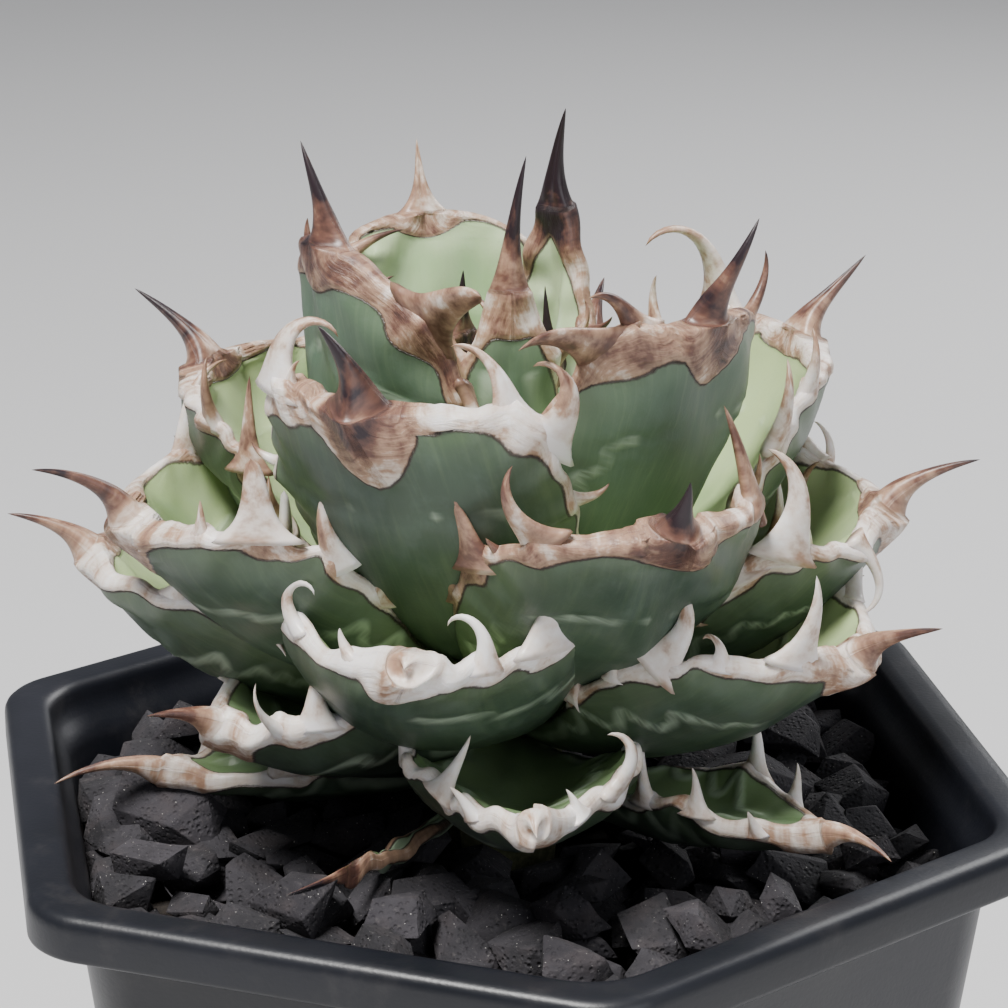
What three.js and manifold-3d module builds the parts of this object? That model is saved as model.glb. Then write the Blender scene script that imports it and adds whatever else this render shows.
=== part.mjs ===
// Potted agave: a spiny rosette in a six-sided plastic pot topped with lava gravel.
// Millimetres, +Z up. The origin is the middle of the pot's underside, on the standing surface.
// The pot's corners lie on the +X and -X axes; angles are turned from +X, seen from above.

import * as THREE from 'three';
import { ConvexGeometry } from 'three/addons/geometries/ConvexGeometry.js';
import { mergeVertices } from 'three/addons/utils/BufferGeometryUtils.js';
import Module from 'manifold-3d';

// Pot
const POT_HEIGHT = 120;
const RIM_FLAT_WIDTH = 140; // across the flats, outside the rim
const RIM_LEDGE = 6.5; // width of the rim's level top
const RIM_SKIRT = 6.5; // height of the rim's outer band
const RIM_STEP = 7; // how far the rim stands out from the body below it
const FOOT_FLAT_WIDTH = 98; // across the flats, at the bottom
const WALL = 2.2;
const FLOOR = 3;
const CORNER_RADIUS = 11;
const HOLE_COUNT = 6;
const HOLE_DIAMETER = 9;
const HOLE_RING = 32; // distance of the drain holes from the middle

// Filling
const CLEARANCE = 0.3; // gap between neighbouring pieces
const BED_DEPTH = 9; // from the rim down to the gravel layer's level
const BED_THICKNESS = 8;
const BED_STONE = 12.5; // size of the stones that make up the gravel layer
const STONE_POINTS = 8; // corners of a stone
const LOOSE_STONES = 18;
const LOOSE_STONE = 12; // mean size of the loose stones

// Plant. Heights are measured from the rim's level.
const STEM_FOOT = -36;
const STEM_TOP = 33;
const STEM_RADIUS = 8.6;
const DRAWN_WIDTH = 140; // the pot width that the leaf table is written for
const PLANT_SCALE = RIM_FLAT_WIDTH / DRAWN_WIDTH;
const FIRST_NODE = -3; // where the oldest leaf leaves the stem
const LAST_NODE = 29; // where the youngest leaf leaves the stem
const BLADE_THICKNESS = 5.6;
const EDGE_THICKNESS = 1.6; // horny margin
const BASE_WIDTH = 0.32; // width of a leaf's foot over its widest part
const SPINE_RADIUS = 2.5;
const TOOTH_WIDTH = 2.5; // half the width of a tooth's foot, along the margin
const TOOTH_THICKNESS = 1.4;

// Each leaf, oldest first: turn (degrees round the stem), reach and height of the blade's tip,
// bend of the midrib (degrees), width, skew of the tip, spine length, and the spine's rise at
// its foot and at its point and its swing to the side (degrees).
const LEAVES = [
  [-101, 41, -2, 22, 3, 0, 13, -8, -20, -35],
  [135, 50, 5, 28, 32, 0, 10, -10, -40, 0],
  [-20, 56, 4.5, 26, 20, 0, 14, -10, -40, -15],
  [-150, 49, 2, 28, 14, 0, 18, 0, -35, 20],
  [83, 55, 12, 38, 42, 0, 11, -10, -40, 0],
  [-66, 54, 14, 42, 38, 0, 4, -40, -80, 0],
  [170, 55, 16, 42, 44, 0, 12, -10, -40, 0],
  [42, 50, 18, 44, 42, 0, 10, -10, -50, 0],
  [-126, 47, 16.5, 42, 40, 0, 13, -15, -30, 0],
  [115, 56, 24, 46, 46, 0, 12, -10, -50, 0],
  [-15, 57, 29, 48, 48, 0, 16, -20, -28, 0],
  [-160, 58, 32, 48, 48, 0, 15, -15, -40, 0],
  [63, 56, 34, 52, 48, 0, 13, -10, -50, 0],
  [-91, 51, 34, 52, 60, 7, 5, -60, -90, 0],
  [148, 54, 38, 54, 48, 0, 13, -10, -50, 0],
  [15, 53, 40, 56, 50, 0, 17, -20, -45, 0],
  [-138, 54, 44, 54, 54, 0, 18, -10, -50, 0],
  [95, 51, 48, 60, 48, 0, 14, -10, -45, 0],
  [-44, 50, 50.5, 64, 48, 0, 10, -30, 10, 0],
  [180, 45, 55, 60, 48, 0, 17, -30, -45, 0],
  [43, 46, 58, 60, 48, 0, 17, -35, -30, 0],
  [-88.5, 43, 65, 68, 44, -5, 15, -30, -5, -38],
  [128, 39, 71, 58, 40, 0, 13, -10, -10, 0],
  [-22, 34, 71, 60, 46, 2, 18, -45, 0, 34],
  [-129, 26, 79, 52, 42, -2, 16.5, -25, -5, -34],
  [70, 11, 79, 36, 19, 0, 17, -15, 0, -22],
  [-66, 11, 72, 38, 17, 0, 21, -20, 0, 14],
  [160, 8, 62, 26, 16, 0, 11, 0, 0, 0],
  [23, 6, 60, 18, 13, 0, 12, 0, 0, 0],
  [-114, 4, 55, 12, 10, 0, 9, 0, 0, 0],
];

// How squarely a leaf's end is cut, how round its shoulders are and how far its sides fold up,
// where a leaf differs from the others of its age.
const OWN_SHAPES = {
  1: [1.2, 1.1, 0.9],
  3: [1.25, 1.15, 1.15],
  4: [1.2, 1.1, 1],
  6: [0.8, 1.1, 1.05],
  9: [1.4, 1, 1.14],
  11: [2, 0.7, 1.15],
  14: [0.95, 1, 1.28],
  17: [2.6, 0.6, 1.2],
  19: [2.4, 0.6, 0.95],
  22: [3.5, 0.42, 0.85],
  25: [1.9, 0.7, 0.9],
  26: [1.3, 1, 1.1],
  27: [1.3, 1.05, 1.1],
};

// Teeth: side of the blade (+1 lies counter-clockwise seen from above), place along the blade
// (0 foot, 1 tip), length, climb above level at the foot and at the point, turn from straight
// sideways towards straight outwards at the foot and at the point (degrees), and how broad the
// foot is beside a common one. A climb past 90 bends back over the leaf.
const COMMON_TEETH = [
  [-1, 0.56, 12, 60, 130, 0, -30, 1.1],
  [-1, 0.72, 10, 80, 30, 0, 0, 1],
  [-1, 0.87, 11, 60, 180, 20, 0, 1.1],
  [1, 0.44, 8, 20, 90, 0, 30, 0.9],
  [1, 0.6, 12, 70, 130, 10, 40, 1.2],
  [1, 0.76, 10, 80, 150, 0, 20, 1],
  [1, 0.89, 11, 70, 10, 0, 20, 1],
];
const OWN_TEETH = {
  1: [],
  3: [[-1, 0.5, 7, 80, 100, 0, 0, 0.9], [-1, 0.68, 6, 90, 60, 0, 0, 0.9],
    [1, 0.66, 9, 85, 130, 0, 0, 1], [1, 0.82, 5, 70, 110, 0, 0, 0.8]],
  4: [[-1, 0.84, 6, 80, 60, 0, -30, 0.7], [1, 0.62, 6, 20, -20, -40, -40, 0.7],
    [-1, 0.6, 5, 40, 70, 0, -40, 0.7]],
  6: [[1, 0.74, 10, 50, 200, 0, 0, 1.2], [1, 0.5, 6, 80, 100, 0, 0, 0.9],
    [-1, 0.72, 8, 120, 110, 0, 0, 1], [-1, 0.48, 7, 80, 110, 0, 0, 0.9]],
  9: [[1, 0.88, 9, 40, 110, 80, 80, 0.6], [1, 0.81, 10, 95, 45, -60, -60, 1.2],
    [1, 0.65, 5, 60, 40, -80, -80, 1.2], [1, 0.56, 6, -40, -50, -80, -80, 0.8],
    [-1, 0.84, 9, 50, 0, -90, -90, 0.8], [-1, 0.68, 9, 80, 95, 0, 0, 0.9],
    [-1, 0.52, 7, 60, 90, 0, 0, 0.9]],
  11: [[-1, 0.38, 11, 5, 150, -90, -90, 0.9], [-1, 0.66, 14.5, 42, 175, 90, 90, 1.4],
    [-1, 0.84, 5, 80, 250, 90, 90, 0.8], [-1, 0.95, 12, 65, 105, 90, 90, 1.3],
    [-1, 0.54, 5, 80, 110, 0, 0, 0.8], [1, 0.7, 10, 80, 140, 0, 0, 1], [1, 0.86, 9, 60, 150, 0, 0, 1],
    [1, 0.5, 8, 60, 110, 0, 0, 1]],
  12: [[1, 0.6, 8, 10, -60, -40, -40, 0.9], [1, 0.8, 8, 50, -20, 0, -60, 0.9],
    [-1, 0.84, 11, 70, 150, 0, -30, 1], [-1, 0.68, 9, 60, 120, 0, -30, 0.9],
    [-1, 0.52, 8, 60, 110, 0, 0, 0.9], [1, 0.42, 7, 60, 100, 0, 0, 1]],
  14: [[1, 0.74, 15, 85, -80, 0, 0, 1.6], [1, 0.88, 10, 85, 260, 0, 0, 0.9],
    [1, 0.62, 5, 10, -30, 0, 0, 1.1], [-1, 0.8, 10, 55, 270, 0, 0, 0.8],
    [-1, 0.74, 7, 85, 210, 0, 0, 0.8], [-1, 0.6, 10, 95, 85, 0, 0, 1.9]],
  16: [[-1, 0.655, 8, 60, 60, -90, -90, 1.5], [-1, 0.79, 16, 70, 165, 90, 90, 1.5],
    [-1, 0.95, 12, -50, -170, 90, 90, 0.6], [-1, 0.46, 8, 70, 110, 0, 0, 1],
    [1, 0.74, 13, 80, 110, 0, 0, 1], [1, 0.88, 10, 60, 10, -60, -60, 0.9],
    [1, 0.6, 10, 90, 50, 0, 0, 0.8], [1, 0.48, 7, 60, 110, 0, 0, 0.8]],
  17: [[1, 0.87, 10, 90, 80, 90, 90, 1.9], [1, 0.63, 13, 60, 160, 70, 90, 1.3],
    [-1, 0.84, 15, 90, 0, -80, -80, 0.9], [-1, 0.66, 9, 60, 110, -60, -60, 0.8],
    [-1, 0.5, 8, 40, 90, -60, -60, 0.8], [1, 0.48, 5, 60, 100, 0, 0, 1]],
  19: [[-1, 0.71, 12, 72, 60, 0, 0, 1.6], [-1, 0.915, 12, 40, 130, 0, 0, 1.3],
    [-1, 0.54, 7, 60, 100, 0, 0, 1], [1, 0.9, 14, 105, 115, 0, 0, 1.3],
    [1, 0.78, 9, 100, 105, 0, 0, 1.1]],
  20: [[1, 0.88, 9, 60, 130, 0, 0, 0.9], [1, 0.7, 12, 90, 100, 0, 0, 1.1],
    [-1, 0.88, 12, 80, 150, 0, 0, 0.9], [-1, 0.7, 9, 40, 110, 0, 0, 1], [1, 0.52, 9, 40, 100, 0, 0, 1],
    [-1, 0.54, 8, 30, 100, 0, 0, 1]],
  21: [[1, 0.95, 21, 85, -60, -90, -90, 1.2], [1, 0.8, 10, 60, 130, 0, 0, 1],
    [1, 0.64, 9, 40, 110, 0, 0, 1], [-1, 0.74, 12, 60, 120, 0, 0, 1.1], [-1, 0.56, 9, 30, 110, 0, 0, 1],
    [-1, 0.9, 9, 60, 140, 0, 0, 0.9]],
  22: [[-1, 0.965, 15, 92, 250, 0, 0, 1.7], [1, 0.92, 13, 100, 200, 0, 0, 1.3],
    [1, 0.86, 14, 48, 220, 0, 0, 1.6], [1, 0.68, 5, 0, 60, -30, -30, 0.8],
    [-1, 0.7, 5, 10, 60, 0, 0, 0.8]],
  23: [[-1, 0.88, 5, 10, 60, 0, 0, 0.8], [-1, 0.72, 5, 10, 80, 0, 0, 0.8],
    [1, 0.78, 9, 150, 165, 0, 0, 1], [1, 0.62, 7, 120, 150, 0, 0, 0.9],
    [1, 0.91, 9, 150, 180, 0, 0, 0.8]],
  24: [[-1, 0.955, 17, 28, -20, 0, 0, 1.6], [-1, 0.985, 12, 55, -10, 0, 0, 1.1],
    [1, 0.86, 11, 40, 110, 0, 0, 1], [-1, 0.72, 8, 10, 80, 0, 0, 1], [1, 0.68, 9, 20, 110, 0, 0, 1]],
  25: [[1, 0.86, 14, 22, 0, 0, 0, 1.9], [1, 0.7, 9, -40, -60, 0, 0, 1.1],
    [-1, 0.88, 6, 60, 110, 0, 0, 1.1], [-1, 0.7, 6, 20, 80, 0, 0, 0.9]],
  26: [[-1, 0.7, 5, 20, 60, 0, 0, 0.8], [1, 0.68, 6, 20, 60, 0, 0, 0.8]],
  27: [],
  28: [],
  29: [],
  30: [],
};

const COLOURS = {
  pot: 0x15161a,
  soil: 0x1d1713,
  gravel: 0x37302f,
  stone: 0x453d3c,
  stem: 0x6f7a52,
  leafOld: 0x33493a,
  leafMiddle: 0x46614a,
  leafYoung: 0x86a57d,
};

// Helpers

const radians = THREE.MathUtils.degToRad;

const wasm = await Module();
wasm.setup();

const group = new THREE.Group();

// A repeatable stream of numbers between 0 and 1.
function stream(seed) {
  let state = seed;
  return () => {
    state = (state * 16807) % 2147483647;
    return state / 2147483647;
  };
}

// The value at x on a line through the given [x, value] knots.
function along(knots, x) {
  if (x <= knots[0][0]) {
    return knots[0][1];
  }
  for (let i = 1; i < knots.length; i += 1) {
    const [x0, y0] = knots[i - 1];
    const [x1, y1] = knots[i];
    if (x <= x1) {
      return y0 + ((y1 - y0) * (x - x0)) / (x1 - x0);
    }
  }
  return knots[knots.length - 1][1];
}

// A closed geometry as a solid for joining and cutting.
function solid(geometry) {
  const bare = geometry.clone();
  for (const name of Object.keys(bare.attributes)) {
    if (name !== 'position') {
      bare.deleteAttribute(name);
    }
  }
  const merged = mergeVertices(bare, 1e-3);
  const source = merged.index.array;
  const kept = [];
  for (let i = 0; i < source.length; i += 3) {
    const [a, b, c] = [source[i], source[i + 1], source[i + 2]];
    if (a !== b && b !== c && c !== a) {
      kept.push(a, b, c);
    }
  }
  return new wasm.Manifold(
    new wasm.Mesh({
      numProp: 3,
      vertProperties: new Float32Array(merged.attributes.position.array),
      triVerts: new Uint32Array(kept),
    }),
  );
}

// The largest connected body of a solid as a geometry.
function largestBody(body) {
  const mesh = body.getMesh();
  const points = mesh.vertProperties;
  const step = mesh.numProp;
  const count = points.length / step;
  const parent = Array.from({ length: count }, (_, i) => i);
  const find = (i) => {
    let root = i;
    while (parent[root] !== root) {
      root = parent[root];
    }
    while (parent[i] !== root) {
      [parent[i], i] = [root, parent[i]];
    }
    return root;
  };
  const tris = mesh.triVerts;
  for (let i = 0; i < tris.length; i += 3) {
    parent[find(tris[i])] = find(tris[i + 1]);
    parent[find(tris[i + 1])] = find(tris[i + 2]);
  }
  const volumes = new Map();
  const at = (i) => new THREE.Vector3(points[i * step], points[i * step + 1], points[i * step + 2]);
  for (let i = 0; i < tris.length; i += 3) {
    const root = find(tris[i]);
    const share = at(tris[i]).dot(at(tris[i + 1]).cross(at(tris[i + 2])));
    volumes.set(root, (volumes.get(root) || 0) + share);
  }
  const best = [...volumes].sort((a, b) => b[1] - a[1])[0][0];
  const position = [];
  for (let i = 0; i < tris.length; i += 3) {
    if (find(tris[i]) === best) {
      for (const j of [tris[i], tris[i + 1], tris[i + 2]]) {
        position.push(points[j * step], points[j * step + 1], points[j * step + 2]);
      }
    }
  }
  const geometry = new THREE.BufferGeometry();
  geometry.setAttribute('position', new THREE.Float32BufferAttribute(position, 3));
  geometry.computeVertexNormals();
  return geometry;
}

function place(name, body, colour, roughness = 0.7) {
  const material = new THREE.MeshStandardMaterial({ color: colour, roughness, metalness: 0 });
  const mesh = new THREE.Mesh(largestBody(body), material);
  mesh.name = name;
  group.add(mesh);
}

// A profile of [half width across flats, height] turned into a six-sided body with round corners.
const CORNER_STEPS = 3;
function hexBody(profile) {
  const points = profile.map(([r, z]) => new THREE.Vector2(r, z));
  const geometry = new THREE.LatheGeometry(points, 6 * (CORNER_STEPS + 1));
  const position = geometry.attributes.position;
  const perCorner = CORNER_STEPS + 1;
  for (let i = 0; i < position.count; i += 1) {
    const j = Math.floor(i / points.length) % (6 * perCorner);
    const half = points[i % points.length].x;
    const radius = Math.min(CORNER_RADIUS, half * 0.5);
    const corner = radians(Math.floor(j / perCorner) * 60);
    const turn = corner + radians(((j % perCorner) / CORNER_STEPS - 0.5) * 60);
    const reach = (half - radius) / Math.cos(radians(30));
    const x = reach * Math.cos(corner) + radius * Math.cos(turn);
    const y = reach * Math.sin(corner) + radius * Math.sin(turn);
    position.setXYZ(i, x, y, points[i % points.length].y);
  }
  return solid(outward(geometry));
}

// Turns every face round if they point inwards.
function outward(geometry) {
  const p = geometry.attributes.position;
  const index = geometry.index.array;
  const at = (i) => new THREE.Vector3().fromBufferAttribute(p, i);
  let volume = 0;
  for (let i = 0; i < index.length; i += 3) {
    volume += at(index[i]).dot(at(index[i + 1]).cross(at(index[i + 2])));
  }
  if (volume < 0) {
    for (let i = 0; i < index.length; i += 3) {
      [index[i + 1], index[i + 2]] = [index[i + 2], index[i + 1]];
    }
  }
  return geometry;
}

// Pot

const rimHalf = RIM_FLAT_WIDTH / 2;
const bodyTop = rimHalf - RIM_STEP;
const footHalf = FOOT_FLAT_WIDTH / 2;
const innerTop = Math.min(rimHalf - RIM_LEDGE, bodyTop - WALL * 0.2);
const skirtFoot = POT_HEIGHT - RIM_SKIRT;

// Half width of the pot's hollow at a height.
function hollowHalf(z) {
  const t = (z - FLOOR) / (skirtFoot - FLOOR);
  const wide = bodyTop - WALL;
  const low = footHalf - WALL;
  return z > skirtFoot ? wide : low + (wide - low) * t;
}

const potOutside = hexBody([
  [0, 0],
  [footHalf - 1.5, 0],
  [footHalf, 1.5],
  [bodyTop, skirtFoot],
  [rimHalf - 1.2, skirtFoot],
  [rimHalf - 0.3, skirtFoot + 0.8],
  [rimHalf, POT_HEIGHT - 1.8],
  [rimHalf - 0.5, POT_HEIGHT - 0.5],
  [rimHalf - 1.8, POT_HEIGHT],
  [0, POT_HEIGHT],
]);
const potInside = hexBody([
  [0, FLOOR],
  [hollowHalf(FLOOR), FLOOR],
  [bodyTop - WALL, skirtFoot],
  [innerTop - 0.8, POT_HEIGHT - 3],
  [innerTop, POT_HEIGHT + 1],
  [0, POT_HEIGHT + 1],
]);
let pot = potOutside.subtract(potInside);
for (let i = 0; i < HOLE_COUNT; i += 1) {
  const hole = new THREE.CylinderGeometry(HOLE_DIAMETER / 2, HOLE_DIAMETER / 2, FLOOR * 4, 12);
  hole.rotateX(Math.PI / 2);
  const turn = radians((360 / HOLE_COUNT) * i);
  hole.translate(HOLE_RING * Math.cos(turn), HOLE_RING * Math.sin(turn), FLOOR / 2);
  pot = pot.subtract(solid(hole));
}
place('pot', pot, COLOURS.pot, 0.45);

// Stem

const rim = POT_HEIGHT;
function stemBody(grow) {
  const r = STEM_RADIUS;
  const profile = [
    [0, STEM_FOOT - grow],
    [r * 0.45 + grow, STEM_FOOT - grow],
    [r * 0.8 + grow, STEM_FOOT * 0.6],
    [r + grow, -6],
    [r * 0.98 + grow, 4],
    [r * 0.82 + grow, 16],
    [r * 0.5 + grow, 26],
    [r * 0.22 + grow, STEM_TOP],
    [0, STEM_TOP + 3 + grow],
  ];
  const points = profile.map(([x, z]) => new THREE.Vector2(x, z));
  const geometry = new THREE.LatheGeometry(points, 12);
  geometry.rotateX(Math.PI / 2);
  geometry.translate(0, 0, rim);
  return solid(outward(geometry));
}
const stem = stemBody(0);
const stemSpace = stemBody(CLEARANCE);

// Leaves

// The sizes of leaf number n (1 is the oldest).
function leafSizes(n) {
  const [turn, ...row] = LEAVES[n - 1];
  const [bend, rise, droop, swing] = [row[2], row[6], row[7], row[8]];
  const [reach, height, width, skew, spine] = [row[0], row[1], row[3], row[4], row[5]]
    .map((size) => size * PLANT_SCALE);
  const own = OWN_SHAPES[n] || [];
  const age = (n - 1) / (LEAVES.length - 1);
  const footHeight = FIRST_NODE + (LAST_NODE - FIRST_NODE) * Math.min(age ** 0.9, 1);
  const footReach = STEM_RADIUS * along([[0, 0.9], [0.6, 0.72], [1, 0.2]], age);
  const dr = reach - footReach;
  const dz = height - footHeight;
  const chord = Math.hypot(dr, dz);
  const arc = radians(bend);
  const start = Math.atan2(dz, dr) - arc / 2;
  return {
    n,
    turn: radians(turn),
    footReach,
    footHeight,
    arc,
    start,
    length: (chord * arc) / 2 / Math.sin(arc / 2),
    width,
    skew,
    spine,
    rise: radians(rise),
    droop: radians(droop),
    swing: radians(swing),
    thickness: BLADE_THICKNESS * along([[1, 0.3], [2, 0.8], [12, 1], [22, 1], [30, 0.45]], n),
    fold: own[2] || along([[1, 0.6], [6, 0.9], [14, 1], [17, 0.95], [22, 0.85], [25, 0.9], [30, 1.2]], n),
    widest: along([[1, 0.62], [25, 0.62], [27, 0.45]], n),
    square: own[0] || along([[1, 1.2], [9, 1.4], [11, 2], [17, 2.8], [19, 3.2], [24, 3], [27, 1.6]], n),
    round: own[1] || along([[1, 1.1], [9, 0.95], [11, 0.7], [17, 0.55], [19, 0.5], [24, 0.5], [27, 1]], n),
    tip: along([[1, 0.12], [18, 0.12], [22, 0.2], [24, 0.2], [27, 0.36]], n),
  };
}

// Point and directions on the midrib at s (0 foot, 1 tip of the blade).
function midrib(leaf, s) {
  const { turn, footReach, footHeight, arc, start, length, skew } = leaf;
  const angle = start + arc * s;
  const out = new THREE.Vector3(Math.cos(turn), Math.sin(turn), 0);
  const up = new THREE.Vector3(0, 0, 1);
  const side = up.clone().cross(out);
  const r = footReach + (length / arc) * (Math.sin(angle) - Math.sin(start));
  const z = footHeight - (length / arc) * (Math.cos(angle) - Math.cos(start));
  const point = out.clone().multiplyScalar(r);
  point.z = rim + z;
  point.addScaledVector(side, skew * s ** 5);
  const ahead = out.clone().multiplyScalar(Math.cos(angle)).addScaledVector(up, Math.sin(angle));
  const face = out.clone().multiplyScalar(-Math.sin(angle)).addScaledVector(up, Math.cos(angle));
  return { point, ahead, side, face };
}

function halfWidth(leaf, s) {
  const half = leaf.width / 2;
  if (s < leaf.widest) {
    const swell = Math.sin((Math.PI / 2) * Math.max(s / leaf.widest, 0)) ** 1.2;
    return half * (BASE_WIDTH + (1 - BASE_WIDTH) * swell);
  }
  const q = Math.min((s - leaf.widest) / (1 - leaf.widest), 1);
  return half * (leaf.tip + (1 - leaf.tip) * (1 - q ** leaf.square) ** leaf.round);
}

// A point of the blade: s along it, v across it (-1 to 1), layer -1 (back) to 1 (upper face).
function bladePoint(leaf, s, v, layer, grow) {
  const { point, ahead, side, face } = midrib(leaf, Math.min(Math.max(s, 0), 1));
  const half = halfWidth(leaf, Math.min(Math.max(s, 0), 1)) + grow;
  const fold = leaf.fold * Math.min(Math.max(half / (leaf.width / 2), 0.15), 1);
  const angle = fold * v;
  const body = (1 - v ** 2) ** 0.8;
  const thick = leaf.thickness * (1.1 - 0.55 * s) * body;
  const lift = layer > 0 ? 0.35 * thick + EDGE_THICKNESS / 2 + grow
    : -0.65 * thick - EDGE_THICKNESS / 2 - grow;
  const x = (half * Math.sin(angle)) / fold - Math.sin(angle) * lift;
  const y = (half * (1 - Math.cos(angle))) / fold + Math.cos(angle) * lift;
  return point.addScaledVector(side, x).addScaledVector(face, y)
    .addScaledVector(ahead, grow * (s > 0.5 ? 1 : -1));
}

const ALONG = [0, 0.28, 0.55, 0.78, 0.92, 1];
const ACROSS = [-1, -0.62, -0.22, 0.22, 0.62, 1];
function bladeBody(leaf, grow) {
  const rows = ALONG.length - 1;
  const columns = ACROSS.length - 1;
  const geometry = new THREE.BoxGeometry(columns, rows, 2, columns, rows, 1);
  const position = geometry.attributes.position;
  for (let i = 0; i < position.count; i += 1) {
    const v = ACROSS[Math.round(position.getX(i) + columns / 2)];
    const s = ALONG[Math.round(position.getY(i) + rows / 2)];
    const p = bladePoint(leaf, s, v, position.getZ(i), grow);
    position.setXYZ(i, p.x, p.y, p.z);
  }
  return solid(outward(geometry));
}

// A tapering horn along a bent line. aim(u) gives its direction, u from 0 to 1.
function hornBody(foot, length, aim, across, wide, thick, sides, taper, grow) {
  const steps = taper.length;
  const geometry = new THREE.CylinderGeometry(0, 1, 1, sides, steps);
  const position = geometry.attributes.position;
  const spots = [];
  const cursor = foot.clone();
  const fine = 6;
  for (let i = 0; i <= steps; i += 1) {
    spots.push({ centre: cursor.clone(), aim: aim(i / steps) });
    for (let j = 0; j < fine && i < steps; j += 1) {
      cursor.addScaledVector(aim((i + (j + 0.5) / fine) / steps), length / steps / fine);
    }
  }
  spots[steps].centre.addScaledVector(spots[steps].aim, grow * 2);
  for (let i = 0; i < position.count; i += 1) {
    const row = Math.round((position.getY(i) + 0.5) * steps);
    const { centre, aim: way } = spots[row];
    const broad = across.clone().addScaledVector(way, -across.dot(way)).normalize();
    const flat = way.clone().cross(broad);
    const turn = Math.atan2(position.getX(i), position.getZ(i));
    const round = Math.hypot(position.getX(i), position.getZ(i)) > 1e-6 ? 1 : 0;
    const size = row < steps ? taper[row] * round : 0;
    const p = centre.clone()
      .addScaledVector(broad, Math.cos(turn) * (size * wide + grow * round * (row < steps ? 1 : 0)))
      .addScaledVector(flat, Math.sin(turn) * (size * thick + grow * round * (row < steps ? 1 : 0)));
    position.setXYZ(i, p.x, p.y, p.z);
  }
  return solid(outward(geometry));
}

function spineBody(leaf, grow) {
  const { point, ahead, side, face } = midrib(leaf, 0.95);
  const aim = (u) => {
    const tilt = leaf.rise + (leaf.droop - leaf.rise) * u;
    const swing = leaf.swing * u;
    return ahead.clone().multiplyScalar(Math.cos(tilt) * Math.cos(swing))
      .addScaledVector(face, Math.sin(tilt))
      .addScaledVector(side, Math.cos(tilt) * Math.sin(swing))
      .normalize();
  };
  const foot = point.clone().addScaledVector(ahead, -1);
  const knots = [[1, 0.5], [2, 0.8], [6, 1], [21, 1], [22, 1.3], [23, 0.85], [24, 1.1], [27, 1], [30, 0.5]];
  const radius = SPINE_RADIUS * along(knots, leaf.n);
  const length = leaf.spine - 1 + leaf.length * 0.05;
  return hornBody(foot, length, aim, side, radius, radius, 5, [1, 0.6, 0.3], grow);
}

function toothBody(leaf, tooth, grow) {
  const [sign, s, length, climb0, climb1, turn0, turn1, broad] = tooth;
  const { ahead, side } = midrib(leaf, s);
  const edge = bladePoint(leaf, s, sign * 0.9, 1, 0).add(bladePoint(leaf, s, sign * 0.9, -1, 0));
  edge.multiplyScalar(0.5);
  const out = new THREE.Vector3(Math.cos(leaf.turn), Math.sin(leaf.turn), 0);
  const aim = (u) => {
    const climb = radians(climb0 + (climb1 - climb0) * u ** 2.2);
    const turn = radians(turn0 + (turn1 - turn0) * u);
    const level = side.clone().multiplyScalar(sign * Math.cos(turn)).addScaledVector(out, Math.sin(turn));
    return level.multiplyScalar(Math.cos(climb)).add(new THREE.Vector3(0, 0, Math.sin(climb)));
  };
  const wide = TOOTH_WIDTH * broad;
  return hornBody(edge, length + 1.5, aim, ahead, wide, TOOTH_THICKNESS, 3, [1, 0.62, 0.32], grow);
}

function leafBody(n, grow) {
  const leaf = leafSizes(n);
  let body = bladeBody(leaf, grow).add(spineBody(leaf, grow));
  for (const tooth of OWN_TEETH[n] || COMMON_TEETH) {
    body = body.add(toothBody(leaf, tooth, grow));
  }
  return body;
}

const leaves = [];
const leafSpaces = [];
for (let n = 1; n <= LEAVES.length; n += 1) {
  leaves.push(leafBody(n, 0));
  leafSpaces.push(leafBody(n, CLEARANCE));
}
// A younger leaf keeps its shape, and the older ones round it give way.
for (let n = 0; n < leaves.length; n += 1) {
  leaves[n] = leaves[n].subtract(stemSpace);
  for (let m = n + 1; m < leaves.length; m += 1) {
    leaves[n] = leaves[n].subtract(leafSpaces[m]);
  }
}

// Filling

const bedTop = rim - BED_DEPTH;
const bedFoot = bedTop - BED_THICKNESS;

const soilFoot = FLOOR + CLEARANCE;
const soilTop = bedFoot - CLEARANCE;
const soil = hexBody([
  [0, soilFoot],
  [hollowHalf(soilFoot) - CLEARANCE, soilFoot],
  [hollowHalf(soilTop) - CLEARANCE, soilTop],
  [0, soilTop],
]).subtract(stemSpace);
place('soil', soil, COLOURS.soil, 0.95);

// An angular stone: the hull of a few points on an uneven ball.
function stoneGeometry(random, size, flatness) {
  const points = [];
  for (let i = 0; i < STONE_POINTS; i += 1) {
    const z = 1 - (2 * (i + 0.5)) / STONE_POINTS;
    const turn = i * 2.4 + random() * 0.9;
    const ring = Math.sqrt(1 - z * z);
    const reach = size * (0.42 + 0.16 * random());
    points.push(new THREE.Vector3(
      reach * ring * Math.cos(turn) * 1.15,
      reach * ring * Math.sin(turn) * 0.9,
      reach * z * flatness,
    ));
  }
  const geometry = new ConvexGeometry(points);
  geometry.rotateX((random() - 0.5) * 1.1);
  geometry.rotateY((random() - 0.5) * 1.1);
  geometry.rotateZ(random() * Math.PI * 2);
  return geometry;
}

// How far a point lies out towards the pot's nearest wall.
function hexReach(x, y) {
  let far = 0;
  for (let i = 0; i < 6; i += 1) {
    const turn = radians(30 + 60 * i);
    far = Math.max(far, x * Math.cos(turn) + y * Math.sin(turn));
  }
  return far;
}

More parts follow.
